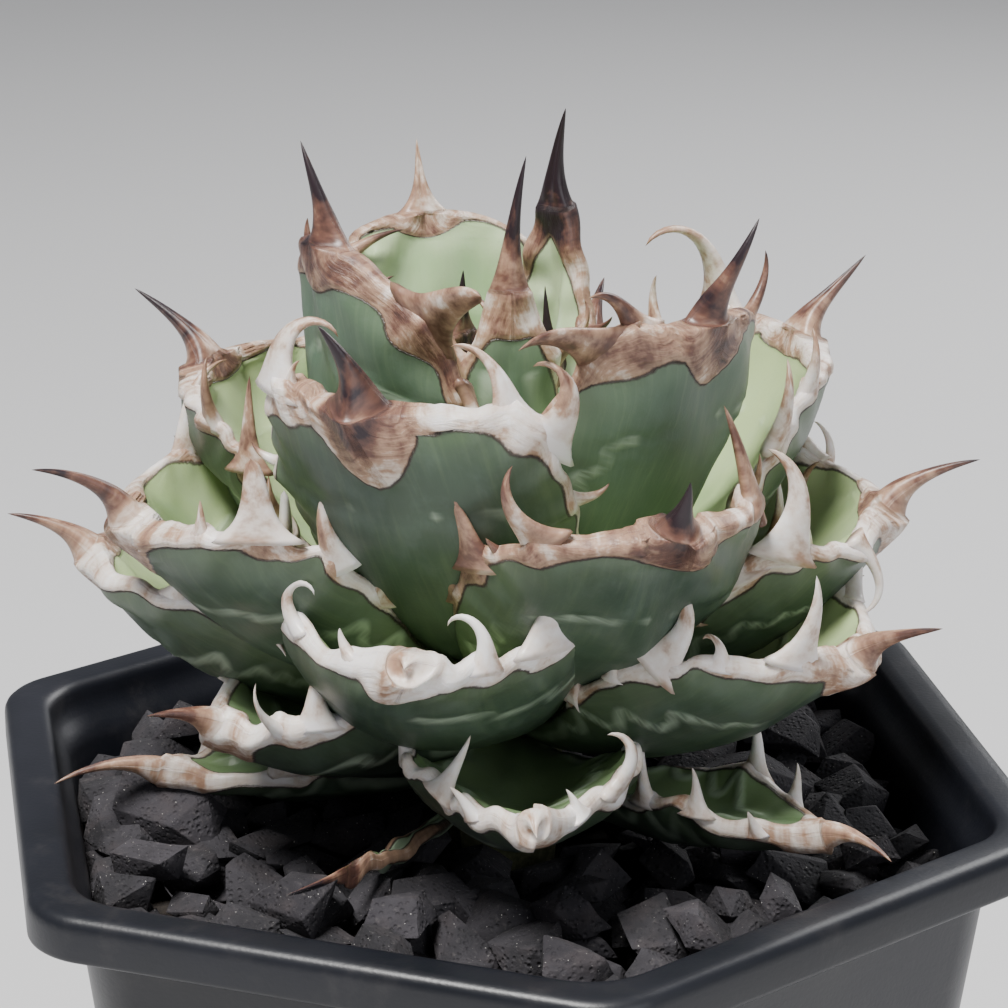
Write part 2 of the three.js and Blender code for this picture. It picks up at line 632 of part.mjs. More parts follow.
const random = stream(4711);
const bedLimit = hexBody([
  [0, bedFoot],
  [hollowHalf(bedFoot) - CLEARANCE, bedFoot],
  [hollowHalf(rim) - CLEARANCE * 2, rim + 4],
  [0, rim + 4],
]);
let bed = hexBody([
  [0, bedFoot],
  [hollowHalf(bedFoot) - CLEARANCE, bedFoot],
  [hollowHalf(bedTop) - CLEARANCE, bedTop],
  [0, bedTop],
]);
const pitch = BED_STONE * 1.3;
for (let row = -5; row <= 5; row += 1) {
  for (let column = -5; column <= 5; column += 1) {
    const x = (column + (row % 2 ? 0.5 : 0)) * pitch + (random() - 0.5) * 3;
    const y = row * pitch * 0.87 + (random() - 0.5) * 3;
    const size = BED_STONE * (0.9 + 0.4 * random());
    const stone = stoneGeometry(random, size, 0.75);
    const reach = Math.hypot(x, y);
    if (reach > STEM_RADIUS + size * 0.6 && hexReach(x, y) < bodyTop - size * 0.5) {
      stone.translate(x, y, bedTop + size * 0.08);
      bed = bed.add(solid(stone).intersect(bedLimit));
    }
  }
}
bed = bed.subtract(stemSpace);

// Loose stones on the gravel layer, in a ring outside the leaves' feet.
const placed = [];
const looseStones = [];
const looseSpaces = [];
for (let tries = 0; tries < 4000 && placed.length < LOOSE_STONES; tries += 1) {
  const turn = random() * Math.PI * 2;
  const size = LOOSE_STONE * (0.75 + 0.55 * random());
  const ring = 38 + random() * (bodyTop - 38);
  const x = ring * Math.cos(turn);
  const y = ring * Math.sin(turn);
  const seed = random();
  const clear = hexReach(x, y) + size * 0.68 < hollowHalf(bedTop);
  if (clear && placed.every((other) => Math.hypot(other[0] - x, other[1] - y) > (other[2] + size) * 0.62)) {
    const own = stream(1 + Math.floor(seed * 1e6));
    const stone = stoneGeometry(own, size, 0.7);
    const space = stone.clone();
    const swell = 1 + (2.6 * CLEARANCE) / size;
    space.scale(swell, swell, swell);
    const z = bedTop + BED_STONE * 0.16 + size * 0.12;
    stone.translate(x, y, z);
    space.translate(x, y, z);
    placed.push([x, y, size]);
    looseStones.push(solid(stone));
    looseSpaces.push(solid(space));
  }
}
for (let i = 0; i < looseStones.length; i += 1) {
  bed = bed.subtract(looseSpaces[i]);
}
for (const space of leafSpaces.slice(0, 9)) {
  bed = bed.subtract(space);
  for (let i = 0; i < looseStones.length; i += 1) {
    looseStones[i] = looseStones[i].subtract(space);
  }
}
place('gravel_bed', bed, COLOURS.gravel, 0.95);
looseStones.forEach((stone, i) => {
  place(`stone_${String(i + 1).padStart(2, '0')}`, stone, COLOURS.stone, 0.95);
});

place('stem', stem, COLOURS.stem, 0.8);
leaves.forEach((leaf, i) => {
  const n = i + 1;
  const colour = n < 10 ? COLOURS.leafOld : n < 24 ? COLOURS.leafMiddle : COLOURS.leafYoung;
  place(`leaf_${String(n).padStart(2, '0')}`, leaf, colour, 0.6);
});

export default group;
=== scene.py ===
"""Looks of the potted agave: every leaf, stone and the pot in fine shape, with procedural materials.

Sizes below are millimetres and angles degrees, in the part's own frame; meshes are made in metres.
"""

import math

import bmesh
import bpy
import numpy as np
from mathutils import Matrix, Vector, noise


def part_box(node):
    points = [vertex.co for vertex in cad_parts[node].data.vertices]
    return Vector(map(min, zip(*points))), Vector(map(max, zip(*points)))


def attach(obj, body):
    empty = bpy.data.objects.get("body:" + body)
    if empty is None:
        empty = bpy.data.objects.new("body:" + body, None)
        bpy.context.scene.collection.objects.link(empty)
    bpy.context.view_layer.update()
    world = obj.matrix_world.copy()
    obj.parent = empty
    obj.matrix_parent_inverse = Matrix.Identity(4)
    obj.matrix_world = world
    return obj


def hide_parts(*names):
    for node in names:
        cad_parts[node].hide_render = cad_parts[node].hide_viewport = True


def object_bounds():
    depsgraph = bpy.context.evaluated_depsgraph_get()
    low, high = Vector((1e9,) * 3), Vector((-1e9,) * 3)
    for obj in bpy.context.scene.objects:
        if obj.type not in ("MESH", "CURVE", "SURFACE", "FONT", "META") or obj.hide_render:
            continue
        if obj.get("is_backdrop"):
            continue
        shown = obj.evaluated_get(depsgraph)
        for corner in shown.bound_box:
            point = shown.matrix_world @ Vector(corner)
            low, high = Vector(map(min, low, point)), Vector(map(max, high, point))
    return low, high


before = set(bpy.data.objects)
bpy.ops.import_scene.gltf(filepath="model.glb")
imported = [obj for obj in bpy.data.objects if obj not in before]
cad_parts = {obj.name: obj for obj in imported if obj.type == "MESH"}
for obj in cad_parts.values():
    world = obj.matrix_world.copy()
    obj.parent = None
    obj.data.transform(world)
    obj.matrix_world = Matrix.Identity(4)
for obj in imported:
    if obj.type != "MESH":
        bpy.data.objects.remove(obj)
CAD_BOX = [list(corner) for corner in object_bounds()]

MM = 0.001
RIM = 120.0  # height of the pot's rim

# ---------------------------------------------------------------- leaf shapes

# Oldest leaf first: turn, reach and height of the blade's tip, bend, width, skew, spine length,
# the spine's rise at its foot and at its point, its swing.
LEAVES = [
    (-101, 41, -2, 22, 3, 0, 13, -8, -20, -35),
    (135, 50, 5, 28, 32, 0, 10, -10, -40, 0),
    (-20, 56, 4.5, 26, 20, 0, 14, -10, -40, -15),
    (-150, 49, 2, 28, 14, 0, 18, 0, -35, 20),
    (83, 55, 12, 38, 42, 0, 11, -10, -40, 0),
    (-66, 54, 14, 42, 38, 0, 6, -70, -110, -50),
    (170, 55, 16, 42, 44, 0, 12, -10, -40, 0),
    (42, 50, 18, 44, 42, 0, 10, -10, -50, 0),
    (-126, 47, 16.5, 42, 40, 0, 13, -15, -30, 0),
    (115, 56, 24, 46, 46, 0, 12, -10, -50, 0),
    (-15, 57, 29, 48, 48, 0, 16, -20, -28, 0),
    (-160, 58, 32, 48, 48, 0, 15, -15, -40, 0),
    (63, 56, 34, 52, 48, 0, 13, -10, -50, 0),
    (-91, 51, 34, 52, 60, 7, 5, -80, -120, 0),
    (148, 54, 38, 54, 48, 0, 13, -10, -50, 0),
    (15, 53, 40, 56, 50, 0, 17, -20, -45, 0),
    (-138, 54, 44, 54, 54, 0, 18, -10, -50, 0),
    (95, 51, 48, 60, 48, 0, 14, -10, -45, 0),
    (-44, 50, 50.5, 64, 48, 0, 10, -30, 10, 0),
    (180, 45, 55, 60, 48, 0, 17, -30, -45, 0),
    (43, 46, 58, 60, 48, 0, 17, -35, -30, 0),
    (-88.5, 43, 65, 68, 44, -5, 15, -30, -5, -38),
    (128, 39, 71, 58, 40, 0, 13, -10, -10, 0),
    (-22, 34, 71, 60, 46, 2, 18, -45, 0, 34),
    (-129, 26, 79, 52, 42, -2, 16.5, -25, -5, -34),
    (70, 11, 79, 36, 19, 0, 17, -15, 0, -22),
    (-66, 11, 72, 38, 17, 0, 21, -20, 0, 14),
    (160, 8, 62, 26, 16, 0, 11, 0, 0, 0),
    (23, 6, 60, 18, 13, 0, 12, 0, 0, 0),
    (-114, 4, 55, 12, 10, 0, 9, 0, 0, 0),
]

# How squarely a leaf's end is cut, how round its shoulders are and how far its sides fold up,
# where a leaf differs from the others of its age.
OWN_SHAPES = {
    1: (1.2, 1.1, 0.9), 3: (1.25, 1.15, 1.15), 4: (1.2, 1.1, 1.0), 6: (0.8, 1.1, 1.05),
    9: (1.4, 1.0, 1.14), 11: (2.0, 0.7, 1.15), 14: (0.95, 1.0, 1.28), 17: (2.6, 0.6, 1.2),
    19: (2.4, 0.6, 0.95), 22: (3.5, 0.42, 0.85),
    25: (1.9, 0.7, 0.9), 26: (1.3, 1.0, 1.1), 27: (1.3, 1.05, 1.1),
}

# Teeth: side (+1 counter-clockwise seen from above), place along the blade, length, climb above
# level at the foot and point, turn towards outwards at the foot and point, breadth.
COMMON_TEETH = [
    (-1, 0.4, 7, 30, 90, -20, -20, 0.9), (-1, 0.56, 12, 60, 130, 0, -30, 1.1),
    (-1, 0.72, 10, 80, 30, 0, 0, 1),
    (-1, 0.87, 11, 60, 180, 20, 0, 1.1), (1, 0.44, 8, 20, 90, 0, 30, 0.9),
    (1, 0.6, 12, 70, 130, 10, 40, 1.2),
    (1, 0.76, 10, 80, 150, 0, 20, 1), (1, 0.89, 11, 70, 10, 0, 20, 1),
]
OWN_TEETH = {
    1: [],
    3: [(-1, 0.5, 7, 80, 100, 0, 0, 0.9), (-1, 0.68, 6, 90, 60, 0, 0, 0.9),
        (-1, 0.84, 3, 60, 60, 0, 0, 0.7),
        (1, 0.66, 9, 85, 130, 0, 0, 1), (1, 0.82, 5, 70, 110, 0, 0, 0.8)],
    4: [(-1, 0.84, 6, 80, 60, 0, -30, 0.7), (1, 0.62, 6, 20, -20, -40, -40, 0.7),
        (-1, 0.6, 5, 40, 70, 0, -40, 0.7)],
    6: [(1, 0.74, 10, 50, 200, 0, 0, 1.2), (1, 0.5, 6, 80, 100, 0, 0, 0.9),
        (1, 0.86, 3, 110, 130, 0, 0, 0.8),
        (-1, 0.72, 8, 120, 110, 0, 0, 1), (-1, 0.84, 4, 60, 40, 0, 0, 0.7),
        (-1, 0.48, 7, 80, 110, 0, 0, 0.9)],
    9: [(1, 0.88, 9, 40, 110, 80, 80, 0.6), (1, 0.81, 10, 95, 45, -60, -60, 1.2),
        (1, 0.65, 5, 60, 40, -80, -80, 1.2), (1, 0.56, 6, -40, -50, -80, -80, 0.8),
        (-1, 0.84, 9, 50, 0, -90, -90, 0.8), (-1, 0.68, 9, 80, 95, 0, 0, 0.9),
        (-1, 0.52, 7, 60, 90, 0, 0, 0.9)],
    11: [(-1, 0.38, 11, 5, 150, -90, -90, 0.9), (-1, 0.66, 14.5, 42, 175, 90, 90, 1.4),
         (-1, 0.84, 5, 80, 250, 90, 90, 0.8), (-1, 0.95, 12, 65, 105, 90, 90, 1.3),
         (-1, 0.54, 5, 80, 110, 0, 0, 0.8), (1, 0.7, 10, 80, 140, 0, 0, 1), (1, 0.86, 9, 60, 150, 0, 0, 1),
         (1, 0.5, 8, 60, 110, 0, 0, 1)],
    12: [(1, 0.6, 8, 10, -60, -40, -40, 0.9), (1, 0.8, 8, 50, -20, 0, -60, 0.9),
         (-1, 0.84, 11, 70, 150, 0, -30, 1),
         (-1, 0.68, 9, 60, 120, 0, -30, 0.9), (-1, 0.52, 8, 60, 110, 0, 0, 0.9),
         (1, 0.42, 7, 60, 100, 0, 0, 1)],
    14: [(1, 0.74, 15, 85, -80, 0, 0, 1.6), (1, 0.88, 10, 85, 260, 0, 0, 0.9),
         (1, 0.62, 5, 10, -30, 0, 0, 1.1),
         (-1, 0.8, 10, 55, 270, 0, 0, 0.8), (-1, 0.74, 7, 85, 210, 0, 0, 0.8),
         (-1, 0.6, 10, 95, 85, 0, 0, 1.9),
         (-1, 0.93, 3, 60, 90, 0, 0, 0.7)],
    16: [(-1, 0.655, 8, 60, 60, -90, -90, 1.5), (-1, 0.79, 16, 70, 165, 90, 90, 1.5),
         (-1, 0.95, 12, -50, -170, 90, 90, 0.6), (-1, 0.46, 8, 70, 110, 0, 0, 1),
         (1, 0.74, 13, 80, 110, 0, 0, 1), (1, 0.88, 10, 60, 10, -60, -60, 0.9),
         (1, 0.6, 10, 90, 50, 0, 0, 0.8),
         (1, 0.48, 7, 60, 110, 0, 0, 0.8)],
    17: [(1, 0.87, 10, 90, 80, 90, 90, 1.9), (1, 0.63, 14, 62, 165, 70, 90, 1.0),
         (-1, 0.84, 15, 90, 0, -80, -80, 0.9), (-1, 0.66, 9, 60, 110, -60, -60, 0.8),
         (-1, 0.5, 8, 40, 90, -60, -60, 0.8), (1, 0.95, 4, 80, 100, 0, 0, 0.8),
         (1, 0.48, 5, 60, 100, 0, 0, 1)],
    19: [(-1, 0.71, 12, 72, 60, 0, 0, 1.6), (-1, 0.915, 12, 40, 130, 0, 0, 1.3),
         (-1, 0.82, 3, 40, 60, 0, 0, 0.8), (-1, 0.54, 7, 60, 100, 0, 0, 1),
         (1, 0.9, 14, 105, 115, 0, 0, 1.3),
         (1, 0.78, 9, 100, 105, 0, 0, 1.1)],
    20: [(1, 0.88, 9, 60, 130, 0, 0, 0.9), (1, 0.7, 12, 90, 100, 0, 0, 1.1),
         (-1, 0.88, 12, 80, 150, 0, 0, 0.9),
         (-1, 0.7, 9, 40, 110, 0, 0, 1), (1, 0.52, 9, 40, 100, 0, 0, 1), (-1, 0.54, 8, 30, 100, 0, 0, 1)],
    21: [(1, 0.95, 21, 85, -60, -90, -90, 1.2), (1, 0.8, 10, 60, 130, 0, 0, 1),
         (1, 0.64, 9, 40, 110, 0, 0, 1),
         (-1, 0.74, 12, 60, 120, 0, 0, 1.1), (-1, 0.56, 9, 30, 110, 0, 0, 1),
         (-1, 0.9, 9, 60, 140, 0, 0, 0.9)],
    22: [(-1, 0.965, 15, 92, 250, 0, 0, 1.7), (-1, 0.99, 4, 80, 150, 0, 0, 0.8),
         (1, 0.92, 13, 100, 200, 0, 0, 1.3), (1, 0.86, 14, 48, 220, 0, 0, 1.6),
         (1, 0.68, 5, 0, 60, -30, -30, 0.8), (-1, 0.7, 5, 10, 60, 0, 0, 0.8)],
    23: [(-1, 0.88, 5, 10, 60, 0, 0, 0.8), (-1, 0.72, 5, 10, 80, 0, 0, 0.8),
         (1, 0.78, 9, 150, 165, 0, 0, 1),
         (1, 0.62, 7, 120, 150, 0, 0, 0.9), (1, 0.91, 9, 150, 180, 0, 0, 0.8)],
    24: [(-1, 0.955, 17, 28, -20, 0, 0, 1.6), (-1, 0.985, 12, 55, -10, 0, 0, 1.1),
         (1, 0.86, 11, 40, 110, 0, 0, 1), (-1, 0.72, 8, 10, 80, 0, 0, 1), (1, 0.68, 9, 20, 110, 0, 0, 1)],
    25: [(1, 0.86, 15, 34, 8, 0, 0, 1.9), (1, 0.7, 9, -40, -60, 0, 0, 1.1),
         (-1, 0.88, 6, 60, 110, 0, 0, 1.1),
         (-1, 0.7, 6, 20, 80, 0, 0, 0.9)],
    26: [(-1, 0.7, 5, 20, 60, 0, 0, 0.8), (1, 0.68, 6, 20, 60, 0, 0, 0.8)],
    27: [(-1, 0.6, 4, 40, 60, 0, 0, 0.7), (1, 0.62, 4, 40, 60, 0, 0, 0.7),
         (-1, 0.76, 8, 50, 150, 0, 0, 0.9),
         (1, 0.8, 9, 30, 120, 0, 0, 0.9)],
    28: [(1, 0.7, 6, 40, 100, 0, 0, 0.7), (-1, 0.75, 5, 40, 100, 0, 0, 0.7)],
    29: [(1, 0.74, 5, 30, 100, 0, 0, 0.7), (-1, 0.74, 7, 20, 120, 0, 0, 0.8)],
    30: [(1, 0.72, 6, 20, 130, 0, 0, 0.8), (-1, 0.72, 6, 20, 130, 0, 0, 0.8)],
}

STEM_RADIUS = 8.6
EDGE = 0.6  # half the thickness of the horny margin
UP = np.array([0.0, 0.0, 1.0])


def along(knots, x):
    return float(np.interp(x, [k[0] for k in knots], [k[1] for k in knots]))


def smooth(x):
    x = np.clip(x, 0, 1)
    return x * x * (3 - 2 * x)


def waves(rng, x, count=4, low=0.5, high=3.0):
    """A gentle repeatable wobble, about -1 to 1."""
    x = np.asarray(x, float)
    total = np.zeros_like(x)
    for _ in range(count):
        total += np.sin(x * rng.uniform(low, high) + rng.uniform(0, 6.3)) / count
    return total * 1.6


class Leaf:
    def __init__(self, n):
        turn, reach, height, bend, width, skew, spine, rise, droop, swing = LEAVES[n - 1]
        self.n = n
        age = (n - 1) / (len(LEAVES) - 1)
        self.foot_height = -3 + 32 * min(age ** 0.9, 1)
        self.foot_reach = STEM_RADIUS * along([(0, 0.9), (0.6, 0.72), (1, 0.2)], age)
        dr, dz = reach - self.foot_reach, height - self.foot_height
        self.arc = math.radians(bend)
        self.start = math.atan2(dz, dr) - self.arc / 2
        self.length = math.hypot(dr, dz) * self.arc / 2 / math.sin(self.arc / 2)
        self.width, self.skew, self.spine = width, skew, spine
        self.rise, self.droop, self.swing = (math.radians(a) for a in (rise, droop, swing))
        self.thickness = 5.6 * along([(1, 0.3), (2, 0.8), (12, 1), (22, 1), (30, 0.45)], n)
        self.fold = along([(1, .6), (6, .9), (14, 1), (17, .95), (22, .85), (25, .9), (30, 1.2)], n)
        self.widest = along([(1, 0.62), (25, 0.62), (27, 0.45)], n)
        self.square = along([(1, 1.2), (9, 1.4), (11, 2), (17, 2.8), (19, 3.2), (24, 3), (27, 1.6)], n)
        self.round = along([(1, 1.1), (9, .95), (11, .7), (17, .55), (19, .5), (24, .5), (27, 1)], n)
        if n in OWN_SHAPES:
            self.square, self.round, self.fold = OWN_SHAPES[n]
        self.tip = along([(1, 0.12), (18, 0.12), (22, 0.2), (24, 0.2), (27, 0.36)], n)
        t = math.radians(turn)
        self.out = np.array([math.cos(t), math.sin(t), 0.0])
        self.side = np.cross(UP, self.out)

    def midrib(self, s):
        s = np.asarray(s, float)
        angle = self.start + self.arc * s
        k = self.length / self.arc
        r = self.foot_reach + k * (np.sin(angle) - math.sin(self.start))
        z = self.foot_height - k * (np.cos(angle) - math.cos(self.start))
        point = r[..., None] * self.out + (RIM + z)[..., None] * UP
        point = point + (self.skew * s ** 5)[..., None] * self.side
        ahead = np.cos(angle)[..., None] * self.out + np.sin(angle)[..., None] * UP
        face = -np.sin(angle)[..., None] * self.out + np.cos(angle)[..., None] * UP
        return point, ahead, face

    def half(self, s):
        s = np.asarray(s, float)
        swell = np.sin(math.pi / 2 * np.clip(s / self.widest, 0, 1)) ** 1.2
        q = np.clip((s - self.widest) / (1 - self.widest), 0, 1)
        end = self.tip + (1 - self.tip) * (1 - q ** self.square) ** self.round
        return self.width / 2 * np.where(s < self.widest, 0.32 + 0.68 * swell, end)

    def section(self, s, v, layer, edge):
        """Offset of a blade point from the midrib: sideways and along the face."""
        half = self.half(s)
        fold = self.fold * np.clip(half / (self.width / 2), 0.15, 1)
        angle = fold * v
        body = np.clip(1 - np.abs(v) ** 2.0, 0, 1) ** 0.8
        thick = self.thickness * (1.1 - 0.55 * s) * body
        start = np.clip(1 - 1.1 / half, 0.3, 0.97)
        cap = np.sqrt(np.clip(1 - np.clip((np.abs(v) - start) / (1 - start), 0, 1) ** 2, 0, 1))
        lift = np.where(layer > 0, 0.35 * thick + edge * cap, -0.65 * thick - edge * cap)
        lift = np.where(np.abs(v) > 0.999, 0, lift)
        x = half * np.sin(angle) / fold - np.sin(angle) * lift
        y = half * (1 - np.cos(angle)) / fold + np.cos(angle) * lift
        return x, y

    def spine_aim(self, u):
        tilt = self.rise + (self.droop - self.rise) * u
        swing = self.swing * u
        _, ahead, face = self.midrib(np.array(1.0))
        way = ahead * math.cos(tilt) * math.cos(swing) + face * math.sin(tilt)
        way = way + self.side * math.cos(tilt) * math.sin(swing)
        return way / np.linalg.norm(way)

    def tooth_aim(self, tooth, u):
        sign, _, _, climb0, climb1, turn0, turn1, _ = tooth
        climb = math.radians(climb0 + (climb1 - climb0) * u ** 2.2)
        turn = math.radians(turn0 + (turn1 - turn0) * u)
        level = self.side * sign * math.cos(turn) + self.out * math.sin(turn)
        return level * math.cos(climb) + UP * math.sin(climb)


class Shell:
    """Gathers rings of points with their surface values, and turns them into one mesh."""
    VALUES = ("horn", "upper", "brown", "edge", "mark", "run")

    def __init__(self):
        self.points, self.faces, self.count = [], [], 0
        self.values = {k: [] for k in self.VALUES}
        self.cloth = []

    def rings(self, grid, values, cloth, closed_tip=True, closed_foot=True):
        rows, cols = grid.shape[:2]
        base = self.count
        self.points.append(grid.reshape(-1, 3))
        for k in self.VALUES:
            self.values[k].append(np.broadcast_to(values[k], (rows, cols)).reshape(-1))
        self.cloth.append(cloth.reshape(-1, 3))
        self.count += rows * cols
        for i in range(rows - 1):
            a, b = base + i * cols, base + (i + 1) * cols
            for j in range(cols):
                k = (j + 1) % cols
                self.faces.append((a + j, a + k, b + k, b + j))
        if closed_foot:
            self.faces.append(tuple(base + j for j in reversed(range(cols))))
        if closed_tip:
            self.faces.append(tuple(base + (rows - 1) * cols + j for j in range(cols)))

    def mesh(self, name):
        mesh = bpy.data.meshes.new(name)
        points = np.concatenate(self.points) * MM
        mesh.from_pydata(points.tolist(), [], self.faces)
        for k in self.VALUES:
            data = mesh.attributes.new(k, "FLOAT", "POINT")
            data.data.foreach_set("value", np.concatenate(self.values[k]).astype("f"))
        data = mesh.attributes.new("cloth", "FLOAT_VECTOR", "POINT")
        data.data.foreach_set("vector", np.concatenate(self.cloth).astype("f").ravel())
        mesh.polygons.foreach_set("use_smooth", [True] * len(mesh.polygons))
        mesh.update()
        return mesh


def ring_order(half_count):
    """Places round a section: v across, layer 1 on the upper face and -1 below."""
    v = -np.cos(np.pi * np.arange(half_count + 1) / half_count)
    v = np.sign(v) * (0.55 * np.abs(v) + 0.45 * np.abs(v) ** 1.6)
    v = np.concatenate([v, v[-2:0:-1]])
    layer = np.concatenate([np.ones(half_count + 1), -np.ones(half_count - 1)])
    return v, layer


def horn_path(foot, length, aim, rows, first=None, settle=3.0):
    """Points and directions along a bent horn."""
    fine = 8
    points, ways = [foot], []
    cursor = foot.copy()
    steps = (rows - 1) * fine
    for i in range(steps + 1):
        u = i / steps
        way = aim(u)
        if first is not None:
            w = math.exp(-u * length / settle)
            way = way * (1 - w) + first * w
            way = way / np.linalg.norm(way)
        if i % fine == 0:
            ways.append(way)
        cursor = cursor + way * length / steps
        if (i + 1) % fine == 0:
            points.append(cursor.copy())
    return np.array(points[:rows]), np.array(ways)


FAR_MARK = 9.0  # a distance from the prints at which none shows
BLADE_ROWS = 96
HALF_RING = 30
SPINE_ROWS = 26

# How brown the horn is (0 ivory, 1 black), and how much browner round the spine's foot, on leaves
# that differ from the others of their age.
BROWN = {1: 0.36, 14: 0.08, 19: 0.36, 21: 0.2, 22: 0.14, 23: 0.36, 24: 0.38, 25: 0.4, 26: 0.3, 27: 0.3}
BASE_DARK = {6: 0.05, 14: 0.06, 22: 0.5, 19: 0.2, 23: 0, 24: 0.12, 25: 0.14, 26: 0.5, 27: 0}
# The spine's radius as a share of a common one's.
SPINE_GIRTH = {6: 0.45, 14: 0.5, 22: 1.35, 23: 0.75, 24: 1.15}
# How far the horn reaches down the outer face below the spine.
HORN_BELOW = {14: 6, 19: 5, 22: 10, 23: 4, 24: 8, 25: 6}
# How much darker the ends of teeth and spines are.
TOOTH_DARK = {14: 0.0, 24: 0.28, 25: 0.06, 27: 0.2}
SPINE_DARK = {6: 0.0, 14: 0.1, 19: 0.45, 22: 0.4, 23: -0.1, 24: 0.3, 25: 0.4, 26: 0.5, 27: 0.75}


def spine_dark(n):
    return along([(1, 0.25), (12, 0.35), (22, 0.5), (30, 0.6)], n)


def tooth_spread(tooth):
    """How far along the margin a tooth's foot reaches, to each side."""
    return 1.6 + 1.3 * tooth[7] + 0.1 * tooth[2]


def tooth_rise(tooth):
    """How far the margin itself rises into a tooth."""
    return min(0.24 * tooth[2], 3.2)


def soft_max(a, b, width):
    return 0.5 * (a + b + np.sqrt((a - b) ** 2 + width ** 2))


def build_leaf(n):
    leaf = Leaf(n)
    rng = np.random.default_rng(4100 + n)
    teeth = OWN_TEETH.get(n, COMMON_TEETH)
    shell = Shell()

    # Stations of the blade, spaced evenly along its outline.
    fine = np.linspace(0, 1, 1201)
    path = np.concatenate([[0], np.cumsum(np.hypot(np.diff(fine) * leaf.length, np.diff(leaf.half(fine))))])
    s = np.interp(np.linspace(0, path[-1], BLADE_ROWS), path, fine)
    v, layer = ring_order(HALF_RING)
    S, V = np.meshgrid(s, v, indexing="ij")
    layers = np.broadcast_to(layer, S.shape)

    # Distance from the outline, and the place along it, on each side.
    X, Y = V * leaf.half(S), S * leaf.length
    outline_s = fine[::6]
    outline = np.stack([leaf.half(outline_s), outline_s * leaf.length], -1)
    outline_path = path[::6]
    gap = np.hypot(np.abs(X)[..., None] - outline[:, 0], Y[..., None] - outline[:, 1])
    nearest = gap.argmin(-1)
    distance = gap.min(-1)
    place = outline_path[nearest]
    sign = np.where(V >= 0, 1.0, -1.0)

    to_tip = path[-1] - place
    plain = along([(1, 0.6), (10, 0.9), (22, 1.0), (23, 0.5), (24, 1.0), (25, 1.4), (26, 0.8), (30, 0.6)], n)
    crown = along([(1, 0.3), (10, 0.6), (19, 1.2), (22, 2.6), (23, 0.7), (24, 1.7), (25, 3.2), (27, 2),
                   (30, 0.5)], n)
    band = plain * (1 + 0.3 * waves(rng, place * 0.3 + sign * 7, 3, 0.4, 1.6))
    band = band + crown * np.exp(-(to_tip / 9) ** 2)
    band = band * smooth(place / path[-1] * 3.0 - 0.7)
    push = np.zeros(S.shape + (3,))
    swell = np.zeros(S.shape)
    for tooth in teeth:
        side, ts, length, broad = tooth[0], tooth[1], tooth[2], tooth[7]
        at = np.interp(ts, fine, path)
        away = np.abs(place - at)
        spread = tooth_spread(tooth)
        near = np.exp(-(away / spread) ** 1.25) * (sign == side)
        band = band + (0.4 + 0.075 * length) * broad * np.exp(-(away / (spread * 0.85)) ** 2) * (sign == side)
        soft = smooth(1 - distance / (4 + 2 * broad))
        push += (near * soft * tooth_rise(tooth))[..., None] * leaf.tooth_aim(tooth, 0)
        swell += near * 0.3
    ripple = waves(rng, place * 0.4 + sign * 3) * smooth(1 - distance / 7) * smooth(S * 3 - 1) * 0.8

    edge = EDGE * (1 + swell) * along([(1, 0.8), (10, 1.1), (22, 1), (30, 0.6)], n)
    x, y = leaf.section(S, V, layers, edge)
    point, _, face = leaf.midrib(S)
    grid = point + x[..., None] * leaf.side + y[..., None] * face
    rough = waves(rng, S * 5 + V * 1.3) * waves(rng, V * 3 + S * 2) * smooth(distance / 6) * 1.15

    lower_v = HORN_BELOW.get(n, along([(1, 6), (12, 8), (22, 10), (25, 9), (27, 6), (30, 4)], n))
    reach_v = np.where(layers > 0, 3.5, lower_v)
    arrow = 4.5 * (1 - ((leaf.length - Y) / reach_v) ** 1.6 - (np.abs(X) / 6.5) ** 1.6)
    horn = soft_max(band - distance, arrow, 1.2)
    # A keel under the spine runs a little way down the outer face.
    keel = along([(1, 0.5), (12, 0.9), (22, 1.2), (30, 0.4)], n) if n != 22 else 3.4
    keel = keel * np.exp(-(X / 3.2) ** 2) * smooth(1.15 - (leaf.length - Y) / lower_v) * (layers < 0)
    # The horn stands a little proud of the skin.
    proud = 0.35 * smooth(horn / 0.9 + 0.2) * layers * np.clip((1 - np.abs(V)) * 12, 0, 1)
    # The print of a neighbour's edge is a shallow fold as well as a pale line.
    mark = leaf_mark(leaf, teeth, X, Y, sign, fine, path)
    print_fold = 0.6 * np.exp(-(mark / 1.5) ** 2) * smooth(waves(rng, place * 0.25 + sign * 5) + 0.5)
    grid = grid + push + (ripple + rough + proud + print_fold - keel)[..., None] * face
    upper = np.where(np.abs(V) > 0.995, 0.5, np.where(layers > 0, 1.0, 0.0))
    cloth = np.stack([X, Y, np.full(S.shape, n * 100.0)], -1)
    shade = BROWN.get(n, along([(1, 0.12), (15, 0.16), (21, 0.3), (24, 0.45), (30, 0.5)], n))
    to_spine = np.hypot(X, leaf.length - Y)
    brown = shade + BASE_DARK.get(n, 0.16) * np.exp(-(to_spine / 6) ** 2)
    brown = brown + 0.1 * smooth(distance / 3)

